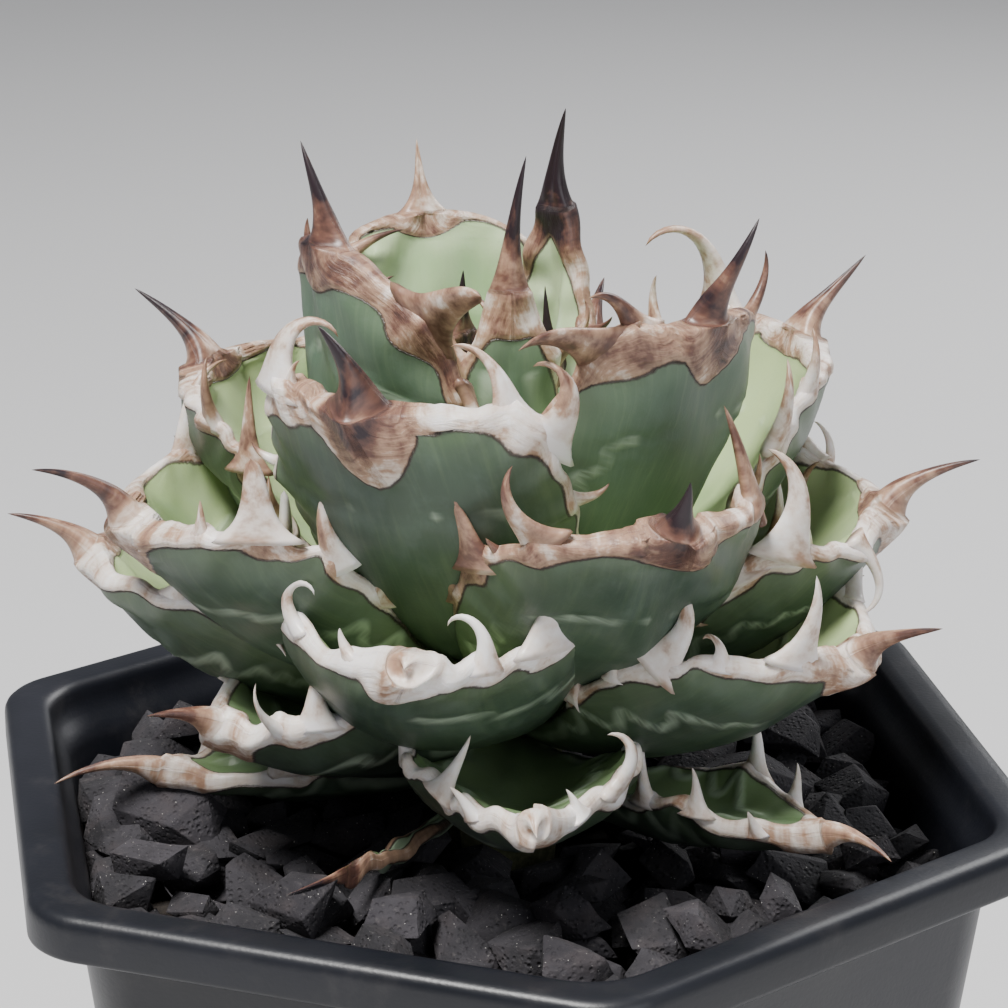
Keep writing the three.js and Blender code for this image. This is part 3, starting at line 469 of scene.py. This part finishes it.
    # The spine goes on from the blade's last section.
    base_x, base_y = x[-1], y[-1]
    p1, a1, _ = leaf.midrib(np.array(1.0))
    radius = 2.5 * SPINE_GIRTH.get(n, along([(1, 0.4), (2, 0.8), (12, 1), (21, 1.05), (27, 1), (30, 0.5)], n))
    long = max(leaf.spine - 2.0, 3.0)
    centre, ways = horn_path(p1, long, leaf.spine_aim, SPINE_ROWS, a1, 2.2)
    u = np.linspace(0, 1, SPINE_ROWS)
    travel = u * long
    round_x = v
    round_y = layer * np.sqrt(np.clip(1 - v ** 2, 0, 1))
    groove = 1 - 0.4 * np.exp(-(v / 0.4) ** 2) * (layer > 0)
    spine_grid = np.zeros((SPINE_ROWS, len(v), 3))
    wide0 = np.abs(base_x).max()
    for i in range(SPINE_ROWS):
        broad = leaf.side - ways[i] * (leaf.side @ ways[i])
        broad /= np.linalg.norm(broad)
        flat = np.cross(ways[i], broad)
        taper = 0.56 * (1 - u[i]) ** 0.75 + 0.44 * (1 - u[i]) ** 4
        wide = radius * taper + (wide0 - radius) * math.exp(-travel[i] / 2.6) * (1 - u[i])
        thick = radius * taper * (0.92 + 0.08 * u[i])
        w = float(smooth(travel[i] / 4.5))
        size = wide / wide0
        sx = base_x * size * (1 - w) + round_x * wide * w
        sy = base_y * (0.3 * size + 0.7) * (1 - w) * (1 - u[i]) + round_y * groove * thick * w
        spine_grid[i] = centre[i] + sx[:, None] * broad + sy[:, None] * flat
        spine_grid[i] -= (keel[-1] * math.exp(-(travel[i] / 4) ** 2))[:, None] * flat
    whole = np.concatenate([grid, spine_grid[1:]])
    rows = SPINE_ROWS - 1
    tipline = np.broadcast_to(u[1:, None], (rows, len(v)))
    values = {
        "horn": np.concatenate([horn, np.full((rows, len(v)), 6.0)]),
        "upper": np.concatenate([upper, np.broadcast_to(np.where(layer > 0, 1.0, 0.0), (rows, len(v)))]),
        "brown": np.concatenate([brown, brown[-1].mean()
                                 + SPINE_DARK.get(n, spine_dark(n)) * tipline ** 0.8]),
        "edge": np.concatenate([distance, np.zeros((rows, len(v)))]),
        "mark": np.concatenate([mark, np.full((rows, len(v)), FAR_MARK)]),
        "run": np.concatenate([place * sign, path[-1] + 0 * tipline]),
    }
    tail = np.stack([np.broadcast_to(v * 2, (rows, len(v))), leaf.length + travel[1:, None] + 0 * tipline,
                     np.full((rows, len(v)), n * 100.0)], -1)
    shell.rings(whole, values, np.concatenate([cloth, tail]))

    for k, tooth in enumerate(teeth):
        add_tooth(shell, leaf, tooth, shade, n * 100.0 + k * 7, rng)
    return shell.mesh(f"leaf_{n:02d}_look")


def leaf_mark(leaf, teeth, X, Y, sign, fine, path):
    """Distance from the faint print that a neighbour's toothed edge has pressed into the blade."""
    half = leaf.half(fine[::12]) * 0.66
    line_y = fine[::12] * leaf.length * 0.8 - 2
    for tooth in teeth:
        at = tooth[1]
        half = half + 2.2 * np.exp(-((fine[::12] - at) * leaf.length / 2.0) ** 2)
    d = np.hypot(np.abs(X)[..., None] - half, Y[..., None] - line_y).min(-1)
    return d


TOOTH_ROWS = 18
TOOTH_RING = 7


def add_tooth(shell, leaf, tooth, shade, seed, rng):
    sign, s, length, _, _, _, _, broad = tooth
    v, layer = ring_order(TOOTH_RING)
    s = np.array(float(s))
    point, _, face = leaf.midrib(s)
    x, y = leaf.section(s, np.array(0.985 * sign), np.array(1.0), 0.0)
    foot = point + x * leaf.side + y * face
    aim0 = leaf.tooth_aim(tooth, 0)
    rise = tooth_rise(tooth)
    foot = foot + aim0 * (rise * 0.45 - 0.8)
    run = margin_run(leaf, s, sign)
    long = length + 1.6
    twist = rng.uniform(-0.25, 0.25)
    blunt = 0.35 if broad > 1.8 else 0.7
    centre, ways = horn_path(foot, long, lambda u: leaf.tooth_aim(tooth, u), TOOTH_ROWS)
    grid = np.zeros((TOOTH_ROWS, len(v), 3))
    u = np.linspace(0, 1, TOOTH_ROWS)
    for i in range(TOOTH_ROWS):
        across = run - ways[i] * (run @ ways[i])
        across /= np.linalg.norm(across)
        flat = np.cross(ways[i], across)
        turn = twist * u[i] * 3
        a = across * math.cos(turn) + flat * math.sin(turn)
        f = flat * math.cos(turn) - across * math.sin(turn)
        taper = (1 - u[i]) ** blunt
        travel = u[i] * long
        wide = broad * (0.7 + 0.05 * length) * taper
        wide = wide + 2.3 * broad * math.exp(-travel / (1.0 + 0.14 * length)) * (1 - u[i])
        thick = (0.85 + 0.12 * broad + 0.02 * length) * taper * (1 + 0.2 * math.exp(-travel / 2))
        ring_y = layer * np.sqrt(np.clip(1 - v ** 2, 0, 1))
        grid[i] = centre[i] + (v * wide)[:, None] * a + (ring_y * thick)[:, None] * f
    shape = grid.shape[:2]
    U = np.broadcast_to(u[:, None], shape)
    n = leaf.n
    dark = TOOTH_DARK.get(n, along([(1, 0.1), (16, 0.12), (21, 0.25), (24, 0.4), (30, 0.5)], n))
    values = {"horn": 1.6 + 4 * U, "upper": np.full(shape, 0.5), "edge": np.zeros(shape),
              "brown": shade + 0.06 * (1 - U) + dark * U ** 1.5, "mark": np.full(shape, FAR_MARK),
              "run": np.zeros(shape)}
    cloth = np.stack([np.broadcast_to(v * 2, shape), U * long + seed, np.full(shape, seed * 3.1)], -1)
    shell.rings(grid, values, cloth)


def margin_run(leaf, s, sign):
    """The margin's own direction at a tooth, so that its foot spreads along it."""
    ends = []
    for at in (s - 0.01, np.minimum(s + 0.01, 1.0)):
        point, _, face = leaf.midrib(at)
        x, y = leaf.section(at, np.array(float(sign)), np.array(1.0), 0.0)
        ends.append(point + x * leaf.side + y * face)
    run = ends[1] - ends[0]
    return run / np.linalg.norm(run)


# ---------------------------------------------------------------- node helpers

def material(name):
    mat = bpy.data.materials.new(name)
    mat.use_nodes = True
    tree = mat.node_tree
    tree.nodes.clear()
    out = tree.nodes.new("ShaderNodeOutputMaterial")
    shader = tree.nodes.new("ShaderNodeBsdfPrincipled")
    tree.links.new(shader.outputs[0], out.inputs["Surface"])
    return mat, Nodes(tree), shader


class Nodes:
    def __init__(self, tree):
        self.tree = tree

    def link(self, a, b):
        self.tree.links.new(a, b)

    def new(self, kind, **settings):
        node = self.tree.nodes.new(kind)
        for k, value in settings.items():
            setattr(node, k, value)
        return node

    def put(self, socket, value):
        if isinstance(value, bpy.types.NodeSocket):
            self.link(value, socket)
        elif isinstance(value, tuple) and len(value) == 3 and socket.type == "RGBA":
            socket.default_value = (*value, 1)
        else:
            socket.default_value = value

    def value(self, name):
        return self.new("ShaderNodeAttribute", attribute_name=name).outputs["Fac"]

    def vector(self, name):
        return self.new("ShaderNodeAttribute", attribute_name=name).outputs["Vector"]

    def place(self):
        """Position on the object, in metres."""
        return self.new("ShaderNodeTexCoord").outputs["Object"]

    def scaled(self, vector, scale):
        node = self.new("ShaderNodeVectorMath", operation="MULTIPLY")
        self.link(vector, node.inputs[0])
        node.inputs[1].default_value = scale if isinstance(scale, tuple) else (scale,) * 3
        return node.outputs[0]

    def noise(self, vector, scale, detail=4.0, rough=0.55, distort=0.0):
        node = self.new("ShaderNodeTexNoise")
        self.link(vector, node.inputs["Vector"])
        node.inputs["Scale"].default_value = scale
        node.inputs["Detail"].default_value = detail
        node.inputs["Roughness"].default_value = rough
        node.inputs["Distortion"].default_value = distort
        return node.outputs["Fac"]

    def cells(self, vector, scale, feature="F1"):
        node = self.new("ShaderNodeTexVoronoi", feature=feature)
        self.link(vector, node.inputs["Vector"])
        node.inputs["Scale"].default_value = scale
        return node.outputs["Distance"]

    def math(self, operation, a, b=0.0, clamp=False):
        node = self.new("ShaderNodeMath", operation=operation, use_clamp=clamp)
        self.put(node.inputs[0], a)
        self.put(node.inputs[1], b)
        return node.outputs[0]

    def fit(self, value, low, high, to_low=0.0, to_high=1.0, smooth=True):
        node = self.new("ShaderNodeMapRange", clamp=True)
        if smooth:
            node.interpolation_type = "SMOOTHSTEP"
        self.link(value, node.inputs["Value"])
        for k, x in (("From Min", low), ("From Max", high), ("To Min", to_low), ("To Max", to_high)):
            node.inputs[k].default_value = x
        return node.outputs["Result"]

    def mix(self, factor, a, b, blend="MIX"):
        node = self.new("ShaderNodeMix", data_type="RGBA", blend_type=blend)
        self.put(node.inputs[0], factor)
        self.put(node.inputs[6], a)
        self.put(node.inputs[7], b)
        return node.outputs[2]

    def join(self, x, y, z):
        node = self.new("ShaderNodeCombineXYZ")
        for socket, value in zip(node.inputs, (x, y, z)):
            self.put(socket, value)
        return node.outputs[0]

    def blend(self, factor, a, b):
        node = self.new("ShaderNodeMix", data_type="FLOAT")
        self.put(node.inputs[0], factor)
        self.put(node.inputs[2], a)
        self.put(node.inputs[3], b)
        return node.outputs[0]

    def ramp(self, value, stops):
        node = self.new("ShaderNodeValToRGB")
        self.link(value, node.inputs[0])
        ramp = node.color_ramp
        while len(ramp.elements) < len(stops):
            ramp.elements.new(0.5)
        for element, (at, colour) in zip(ramp.elements, stops):
            element.position = at
            element.color = (*colour, 1)
        return node.outputs["Color"]

    def bump(self, height, distance, strength=1.0, normal=None):
        node = self.new("ShaderNodeBump")
        self.link(height, node.inputs["Height"])
        node.inputs["Distance"].default_value = distance
        node.inputs["Strength"].default_value = strength
        if normal is not None:
            self.link(normal, node.inputs["Normal"])
        return node.outputs["Normal"]


# ---------------------------------------------------------------- materials

# Horn from fresh ivory through tan and brown to black.
HORN_COLOURS = [(0.0, (0.86, 0.83, 0.81)), (0.2, (0.74, 0.65, 0.58)), (0.36, (0.42, 0.26, 0.175)),
                (0.56, (0.15, 0.072, 0.052)), (0.8, (0.02, 0.011, 0.015))]


def leaf_material(name, under, under_dark, upper, upper_pale):
    mat, n, shader = material(name)
    cloth = n.vector("cloth")
    horn, top, brown = n.value("horn"), n.value("upper"), n.value("brown")
    edge, mark, run = n.value("edge"), n.value("mark"), n.value("run")

    blotch = n.noise(n.scaled(cloth, (0.05, 0.03, 0.37)), 1.0, 3)
    streak = n.noise(n.scaled(cloth, (1.1, 0.07, 0.5)), 1.0, 5, 0.6)
    grain = n.noise(n.scaled(cloth, (2.6, 1.6, 0.9)), 1.0, 3, 0.6)

    # The under face's greens are much darker than the upper face's: partly the leaf's own colour, partly
    # painted shade for faces turned down, away from the light above.
    below = n.mix(n.fit(blotch, 0.35, 0.65), under_dark, under)
    above = n.mix(n.fit(blotch, 0.3, 0.62), upper, upper_pale)
    skin = n.mix(n.fit(top, 0.3, 0.7), below, above)
    # The upper face pales towards its edge, and both have a grey waxy bloom.
    rim_glow = n.math("MULTIPLY", n.fit(edge, 8, 0.5), n.fit(top, 0.3, 0.7, 0.12, 0.55))
    skin = n.mix(rim_glow, skin, upper_pale)
    bloom = n.fit(n.noise(n.scaled(cloth, (0.16, 0.1, 0.21)), 1.0, 5, 0.65), 0.42, 0.7)
    skin = n.mix(n.math("MULTIPLY", bloom, 0.12), skin, (0.3, 0.38, 0.34))
    skin = n.mix(n.math("MULTIPLY", n.fit(streak, 0.45, 0.75), 0.06), skin, upper_pale)
    skin = n.mix(n.math("MULTIPLY", n.fit(grain, 0.55, 0.8), 0.1), skin, under_dark)
    print_line = n.math("MULTIPLY", n.fit(mark, 1.3, 0.1), n.fit(blotch, 0.37, 0.53))
    skin = n.mix(n.math("MULTIPLY", print_line, 0.55), skin, (0.5, 0.6, 0.46))

    # The horn's grain runs along the margin: fine across it, long along it.
    grainway = n.join(edge, run, n.math("MULTIPLY", n.math("ADD", top, brown), 2.0))
    fibre = n.noise(n.scaled(grainway, (1.9, 0.24, 1.0)), 1.0, 5, 0.65)
    cloud = n.noise(n.scaled(cloth, (0.26, 0.2, 0.7)), 1.0, 4, 0.6)
    aged = n.math("ADD", brown, n.math("MULTIPLY", n.math("SUBTRACT", cloud, 0.5), 1.25))
    aged = n.math("ADD", aged, n.math("MULTIPLY", n.math("SUBTRACT", fibre, 0.5), 0.45))
    hide = n.ramp(aged, HORN_COLOURS)

    wobble = n.math("ADD", horn, n.math("MULTIPLY", n.math("SUBTRACT", grain, 0.5), 0.3))
    is_horn = n.fit(wobble, -0.1, 0.1)
    rind = n.math("MULTIPLY", n.fit(wobble, -0.32, -0.08), n.fit(wobble, 0.3, 0.04))
    lip = n.math("MULTIPLY", n.fit(wobble, 0.05, 0.3), n.fit(wobble, 0.9, 0.4))
    colour = n.mix(is_horn, skin, hide)
    colour = n.mix(n.math("MULTIPLY", lip, 0.3), colour, (0.5, 0.36, 0.24))
    colour = n.mix(n.math("MULTIPLY", rind, 0.85), colour, (0.035, 0.02, 0.016))
    n.link(colour, shader.inputs["Base Color"])
    roughness = n.blend(is_horn, n.fit(bloom, 0, 1, 0.4, 0.56), n.fit(fibre, 0.3, 0.7, 0.3, 0.46))
    n.link(roughness, shader.inputs["Roughness"])
    shader.inputs["Subsurface Weight"].default_value = 0.08
    shader.inputs["Subsurface Radius"].default_value = (0.3, 0.5, 0.15)
    shader.inputs["Subsurface Scale"].default_value = 0.002
    height = n.math("ADD", n.math("MULTIPLY", is_horn, 0.45),
                    n.math("MULTIPLY", n.math("MULTIPLY", fibre, is_horn), 0.7))
    height = n.math("ADD", height, n.math("MULTIPLY", grain, 0.08))
    height = n.math("SUBTRACT", height, n.math("MULTIPLY", print_line, 0.5))
    n.link(n.bump(height, 0.0004, 0.8), shader.inputs["Normal"])
    return mat


def stone_material(name, dark, light, warm):
    mat, n, shader = material(name)
    at = n.place()
    cloud = n.noise(at, 90, 4)
    rough = n.noise(at, 900, 6, 0.7)
    pits = n.cells(at, 1100)
    colour = n.mix(n.fit(cloud, 0.35, 0.65), dark, light)
    colour = n.mix(n.math("MULTIPLY", n.fit(n.noise(at, 160, 3), 0.5, 0.7), 0.5), colour, warm)
    colour = n.mix(n.math("MULTIPLY", n.fit(rough, 0.55, 0.75), 0.35), colour, (0.16, 0.145, 0.14))
    sparkle = n.fit(n.noise(at, 2600, 2, 0.5), 0.72, 0.76)
    colour = n.mix(sparkle, colour, (0.55, 0.53, 0.5))
    n.link(colour, shader.inputs["Base Color"])
    n.link(n.fit(sparkle, 0, 1, 0.86, 0.3), shader.inputs["Roughness"])
    height = n.math("ADD", n.math("MULTIPLY", rough, 0.8), n.math("MULTIPLY", n.fit(pits, 0.1, 0.45), 0.5))
    n.link(n.bump(height, 0.0005, 0.9), shader.inputs["Normal"])
    return mat


def pot_material():
    mat, n, shader = material("pot_plastic")
    at = n.place()
    cloud = n.noise(at, 25, 4)
    grain = n.noise(at, 1500, 3, 0.6)
    colour = n.mix(n.fit(cloud, 0.3, 0.7), (0.006, 0.007, 0.0105), (0.011, 0.012, 0.018))
    dust = n.math("MULTIPLY", n.fit(n.noise(at, 120, 6, 0.7), 0.5, 0.75), 0.12)
    colour = n.mix(dust, colour, (0.11, 0.1, 0.095))
    n.link(colour, shader.inputs["Base Color"])
    n.link(n.fit(cloud, 0.3, 0.7, 0.34, 0.46), shader.inputs["Roughness"])
    scratches = n.noise(n.scaled(at, (40, 40, 900)), 1.0, 2)
    height = n.math("ADD", n.math("MULTIPLY", grain, 0.5), n.math("MULTIPLY", scratches, 0.3))
    n.link(n.bump(height, 0.00012, 0.5), shader.inputs["Normal"])
    return mat


def earth_material(name, dark, light):
    mat, n, shader = material(name)
    at = n.place()
    crumbs = n.noise(at, 380, 6, 0.7)
    colour = n.mix(n.fit(crumbs, 0.35, 0.65), dark, light)
    n.link(colour, shader.inputs["Base Color"])
    n.link(n.fit(crumbs, 0, 1, 0.8, 0.98), shader.inputs["Roughness"])
    n.link(n.bump(crumbs, 0.001, 1.0), shader.inputs["Normal"])
    return mat


# The old and middle leaves get darker greens than the young, and every under face a darker green than its
# upper face: partly the leaves' own colour, partly painted shade for the lower, outer parts of the rosette.
LEAF_LOOKS = {
    "leaf_old": leaf_material("leaf_old_skin", (0.036, 0.058, 0.037), (0.02, 0.033, 0.023),
                              (0.085, 0.145, 0.07), (0.19, 0.28, 0.13)),
    "leaf_middle": leaf_material("leaf_middle_skin", (0.058, 0.094, 0.058), (0.031, 0.056, 0.036),
                                 (0.22, 0.33, 0.14), (0.42, 0.53, 0.26)),
    "leaf_young": leaf_material("leaf_young_skin", (0.115, 0.18, 0.11), (0.066, 0.115, 0.073),
                                (0.28, 0.42, 0.2), (0.52, 0.64, 0.38)),
}


def slot_of(n):
    return "leaf_old" if n <= 9 else "leaf_middle" if n <= 22 else "leaf_young"


def piece(name, mesh, mat, nodes):
    obj = bpy.data.objects.new(name, mesh)
    bpy.context.scene.collection.objects.link(obj)
    obj.data.materials.append(mat)
    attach(obj, "root")
    if nodes:
        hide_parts(*nodes)
    return obj


for number in range(1, len(LEAVES) + 1):
    key = slot_of(number)
    piece(f"leaf_{number:02d}_look", build_leaf(number), LEAF_LOOKS[key], [f"leaf_{number:02d}"])


# ---------------------------------------------------------------- pot

RIM_HALF, RIM_LEDGE, RIM_SKIRT, RIM_STEP = 70.0, 6.5, 6.5, 7.0
FOOT_HALF, WALL, FLOOR, CORNER = 49.0, 2.2, 3.0, 11.0
HOLES, HOLE_DIAMETER, HOLE_RING = 6, 9.0, 32.0
BODY_TOP = RIM_HALF - RIM_STEP
SKIRT_FOOT = RIM - RIM_SKIRT
CORNER_POINTS = 16


def hex_ring(half, z, corner=CORNER):
    radius = min(corner, half * 0.5)
    reach = (half - radius) / math.cos(math.radians(30))
    points = []
    for side in range(6):
        mid = math.radians(side * 60)
        for k in range(CORNER_POINTS + 1):
            turn = mid + math.radians((k / CORNER_POINTS - 0.5) * 60)
            points.append((reach * math.cos(mid) + radius * math.cos(turn),
                           reach * math.sin(mid) + radius * math.sin(turn), z))
    return points


def loft(mesh_name, profile):
    """A closed body from [half width, height] pairs, outside upwards and then down inside."""
    points, faces = [], []
    for half, z in profile:
        points += hex_ring(half, z)
    cols = 6 * (CORNER_POINTS + 1)
    for i in range(len(profile) - 1):
        for j in range(cols):
            k = (j + 1) % cols
            faces.append((i * cols + j, i * cols + k, (i + 1) * cols + k, (i + 1) * cols + j))
    faces.append(tuple(reversed(range(cols))))
    faces.append(tuple((len(profile) - 1) * cols + j for j in range(cols)))
    mesh = bpy.data.meshes.new(mesh_name)
    mesh.from_pydata([(x * MM, y * MM, z * MM) for x, y, z in points], [], faces)
    mesh.update()
    return mesh


def rounded(profile, radius, steps=5):
    """Rounds the profile's corners; radius gives one value per point."""
    out = []
    for i, (p, r) in enumerate(zip(profile, radius)):
        if r <= 0 or i in (0, len(profile) - 1):
            out.append(p)
            continue
        a, b, c = (np.array(profile[k], float) for k in (i - 1, i, i + 1))
        da, dc = (a - b) / np.linalg.norm(a - b), (c - b) / np.linalg.norm(c - b)
        cut = min(r, 0.48 * np.linalg.norm(a - b), 0.48 * np.linalg.norm(c - b))
        start, end = b + da * cut, b + dc * cut
        for k in range(steps + 1):
            t = k / steps
            out.append(tuple((1 - t) ** 2 * start + 2 * t * (1 - t) * b + t * t * end))
    return out


inner_top = RIM_HALF - RIM_LEDGE
profile = [(FOOT_HALF - 3, 0), (FOOT_HALF, 0), (BODY_TOP, SKIRT_FOOT), (RIM_HALF, SKIRT_FOOT - 0.01),
           (RIM_HALF, RIM), (inner_top, RIM), (inner_top - 0.6, RIM - 4), (BODY_TOP - WALL, SKIRT_FOOT - 1),
           (FOOT_HALF - WALL, FLOOR), (FOOT_HALF - 8, FLOOR)]
radii = [0, 1.6, 0.8, 0.9, 2.2, 1.6, 1.5, 1.5, 2.0, 0]
pot_mesh = loft("pot_look", rounded(profile, radii))
pot = piece("pot_look", pot_mesh, pot_material(), ["pot"])
cutters = bmesh.new()
for k in range(HOLES):
    turn = math.radians(360 / HOLES * k)
    made = bmesh.ops.create_cone(cutters, cap_ends=True, segments=40, radius1=HOLE_DIAMETER / 2 * MM,
                                 radius2=HOLE_DIAMETER / 2 * MM, depth=FLOOR * 4 * MM)
    bmesh.ops.translate(cutters, verts=made["verts"],
                        vec=(HOLE_RING * MM * math.cos(turn), HOLE_RING * MM * math.sin(turn),
                             FLOOR / 2 * MM))
cutter_mesh = bpy.data.meshes.new("drain_cutter")
cutters.to_mesh(cutter_mesh)
cutters.free()
cutter = bpy.data.objects.new("drain_cutter", cutter_mesh)
bpy.context.scene.collection.objects.link(cutter)
cut = pot.modifiers.new("drains", "BOOLEAN")
cut.operation = "DIFFERENCE"
cut.object = cutter
cut.solver = "EXACT"
bpy.context.view_layer.update()
bpy.context.view_layer.objects.active = pot
with bpy.context.temp_override(object=pot, active_object=pot, selected_objects=[pot]):
    bpy.ops.object.modifier_apply(modifier="drains")
bpy.data.objects.remove(cutter, do_unlink=True)
pot.data.polygons.foreach_set("use_smooth", [True] * len(pot.data.polygons))
pot.data.set_sharp_from_angle(angle=math.radians(35))


# ---------------------------------------------------------------- stones

def stone_mesh(rng, size, flat, detail=2):
    """An angular broken stone about its own middle: a hull with chipped edges and a rough face."""
    bm = bmesh.new()
    count = rng.integers(7, 11)
    for i in range(count):
        z = 1 - 2 * (i + 0.5) / count
        turn = i * 2.4 + rng.uniform(0, 0.9)
        ring = math.sqrt(1 - z * z)
        reach = size * (0.42 + 0.16 * rng.random())
        bm.verts.new((reach * ring * math.cos(turn) * 1.2, reach * ring * math.sin(turn) * 0.88,
                      reach * z * flat))
    hull = bmesh.ops.convex_hull(bm, input=bm.verts)
    bmesh.ops.delete(bm, geom=[g for g in hull["geom_interior"] if isinstance(g, bmesh.types.BMVert)],
                     context="VERTS")
    bmesh.ops.dissolve_limit(bm, angle_limit=math.radians(12), verts=bm.verts, edges=bm.edges)
    bmesh.ops.bevel(bm, geom=list(bm.edges), offset=size * 0.014, segments=2, profile=0.6,
                    affect="EDGES", clamp_overlap=True)
    bmesh.ops.triangulate(bm, faces=bm.faces)
    if detail:
        long = [e for e in bm.edges if e.calc_length() > size * 0.16]
        bmesh.ops.subdivide_edges(bm, edges=long, cuts=detail, use_grid_fill=True)
        bmesh.ops.triangulate(bm, faces=bm.faces)
    shift = Vector(rng.uniform(-50, 50, 3).tolist())
    bm.normal_update()
    moves = [(v, v.normal * (noise.fractal(v.co * 0.45 + shift, 1, 2.1, 4) * size * 0.022)) for v in bm.verts]
    for vert, move in moves:
        vert.co += move
    turns = rng.uniform(-0.5, 0.5, 2)
    spin = rng.uniform(0, 6.283)
    turn = Matrix.Rotation(spin, 4, "Z") @ Matrix.Rotation(turns[0], 4, "X")
    turn = turn @ Matrix.Rotation(turns[1], 4, "Y")
    bmesh.ops.transform(bm, matrix=turn, verts=bm.verts)
    points = np.array([v.co[:] for v in bm.verts])
    faces = [[v.index for v in f.verts] for f in bm.faces]
    bm.free()
    return points, faces


def hex_reach(x, y):
    """Distance from the middle towards the wall that is nearest."""
    turns = [math.radians(30 + 60 * i) for i in range(6)]
    return max(x * math.cos(turn) + y * math.sin(turn) for turn in turns)


BED_TOP = RIM - 9
LAVA = stone_material("lava_gravel", (0.014, 0.013, 0.016), (0.036, 0.033, 0.039), (0.046, 0.037, 0.039))
LOOSE_LAVA = stone_material("lava_stone", (0.017, 0.015, 0.019), (0.044, 0.04, 0.047), (0.056, 0.045, 0.047))


def make_mesh(name, points, faces):
    mesh = bpy.data.meshes.new(name)
    mesh.from_pydata((np.asarray(points) * MM).tolist(), [], faces)
    mesh.polygons.foreach_set("use_smooth", [True] * len(mesh.polygons))
    mesh.update()
    mesh.set_sharp_from_angle(angle=math.radians(38))
    return mesh


loose = []
for name in sorted(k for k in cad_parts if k.startswith("stone_")):
    low, high = (np.array(c[:]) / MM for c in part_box(name))
    middle, span = (low + high) / 2, high - low
    rng = np.random.default_rng(700 + int(name[-2:]))
    points, faces = stone_mesh(rng, 12.0, 0.7, 2)
    spread = points.max(0) - points.min(0)
    points = (points - (points.max(0) + points.min(0)) / 2) * (span / spread) + middle
    loose.append((middle, span.max()))
    piece(f"{name}_look", make_mesh(f"{name}_look", points, faces), LOOSE_LAVA, [name])

rng = np.random.default_rng(52)
bed_points, bed_faces, total = [], [], 0
for level, pitch, height in ((0, 10.5, -4.6), (1, 9.6, -0.6)):
    for row in range(-8, 9):
        for column in range(-8, 9):
            x = (column + (0.5 if row % 2 else 0.0) + 0.3 * level) * pitch + rng.uniform(-2.2, 2.2)
            y = row * pitch * 0.87 + rng.uniform(-2.2, 2.2)
            size = rng.uniform(8.5, 14.5)
            out = hex_reach(x, y)
            if out > BODY_TOP - WALL - size * 0.25 or math.hypot(x, y) < 15:
                continue
            lift = rng.uniform(-1.6, 1.6)
            points, faces = stone_mesh(rng, size, rng.uniform(0.42, 0.78), 1)
            points = points + np.array([x, y, BED_TOP + height + lift])
            # Stones on the wall stay inside it.
            for corner in range(6):
                turn = math.radians(30 + 60 * corner)
                way = np.array([math.cos(turn), math.sin(turn)])
                over = points[:, :2] @ way - (BODY_TOP - WALL - 0.4)
                points[:, :2] -= np.clip(over, 0, None)[:, None] * way
            bed_points.append(points)
            bed_faces += [[i + total for i in f] for f in faces]
            total += len(points)
piece("gravel_bed_look", make_mesh("gravel_bed_look", np.concatenate(bed_points), bed_faces), LAVA,
      ["gravel_bed"])

for name, mat in (("soil", earth_material("soil_crumb", (0.012, 0.009, 0.007), (0.035, 0.026, 0.02))),
                  ("stem", earth_material("stem_skin", (0.1, 0.11, 0.05), (0.2, 0.2, 0.11)))):
    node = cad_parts[name]
    node.data.materials.clear()
    node.data.materials.append(mat)


# ---------------------------------------------------------------- stage, light and camera

FLOOR_REACH = 4.0  # metres from the middle to the floor's edge
CAMERA_TURN, CAMERA_PITCH = 20, 18.85
CAMERA_AWAY, CAMERA_ABOVE_RIM = 0.4642, 0.1968  # metres, level and upright

floor_mesh = bpy.data.meshes.new("floor")
floor_mesh.from_pydata([(-FLOOR_REACH, -FLOOR_REACH, 0), (FLOOR_REACH, -FLOOR_REACH, 0),
                        (FLOOR_REACH, FLOOR_REACH, 0), (-FLOOR_REACH, FLOOR_REACH, 0)],
                       [], [(0, 1, 2, 3)])
floor = bpy.data.objects.new("floor", floor_mesh)
bpy.context.scene.collection.objects.link(floor)
floor_mat, _, floor_shader = material("floor_pale")
floor_shader.inputs["Base Color"].default_value = (0.62, 0.62, 0.63, 1)
floor_shader.inputs["Roughness"].default_value = 0.8
floor_mesh.materials.append(floor_mat)
floor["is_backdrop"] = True

world = bpy.data.worlds.new("studio")
bpy.context.scene.world = world
world.use_nodes = True
world.node_tree.nodes["Background"].inputs["Color"].default_value = (0.62, 0.64, 0.68, 1)
world.node_tree.nodes["Background"].inputs["Strength"].default_value = 0.3


def lamp(name, place, aim, size, power, colour=(1, 1, 1)):
    data = bpy.data.lights.new(name, "AREA")
    data.shape = "DISK"
    data.size = size
    data.energy = power
    data.color = colour
    obj = bpy.data.objects.new(name, data)
    obj.location = place
    obj.rotation_euler = (Vector(aim) - Vector(place)).to_track_quat("-Z", "Y").to_euler()
    bpy.context.scene.collection.objects.link(obj)


target = (0, 0, 0.15)
lamp("key", (-0.15, -0.42, 1.15), target, 0.42, 27, (1, 0.985, 0.96))
lamp("fill", (0.9, -0.5, 0.5), target, 0.8, 3.5, (0.92, 0.96, 1))
lamp("back", (0.3, 0.9, 0.7), target, 0.6, 8, (1, 1, 1))

camera_data = bpy.data.cameras.new("camera")
camera = bpy.data.objects.new("camera", camera_data)
bpy.context.scene.collection.objects.link(camera)
camera_data.lens = 124.8
camera_data.sensor_width = 36.0
camera_data.clip_end = 20
turn, pitch = math.radians(CAMERA_TURN), math.radians(CAMERA_PITCH)
camera.location = (CAMERA_AWAY * math.sin(turn), -CAMERA_AWAY * math.cos(turn),
                   CAMERA_ABOVE_RIM + RIM * MM)
camera.rotation_euler = (math.pi / 2 - pitch, 0, turn)
bpy.context.scene.camera = camera

size = {"cad": CAD_BOX, "visual": [list(corner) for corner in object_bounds()]}
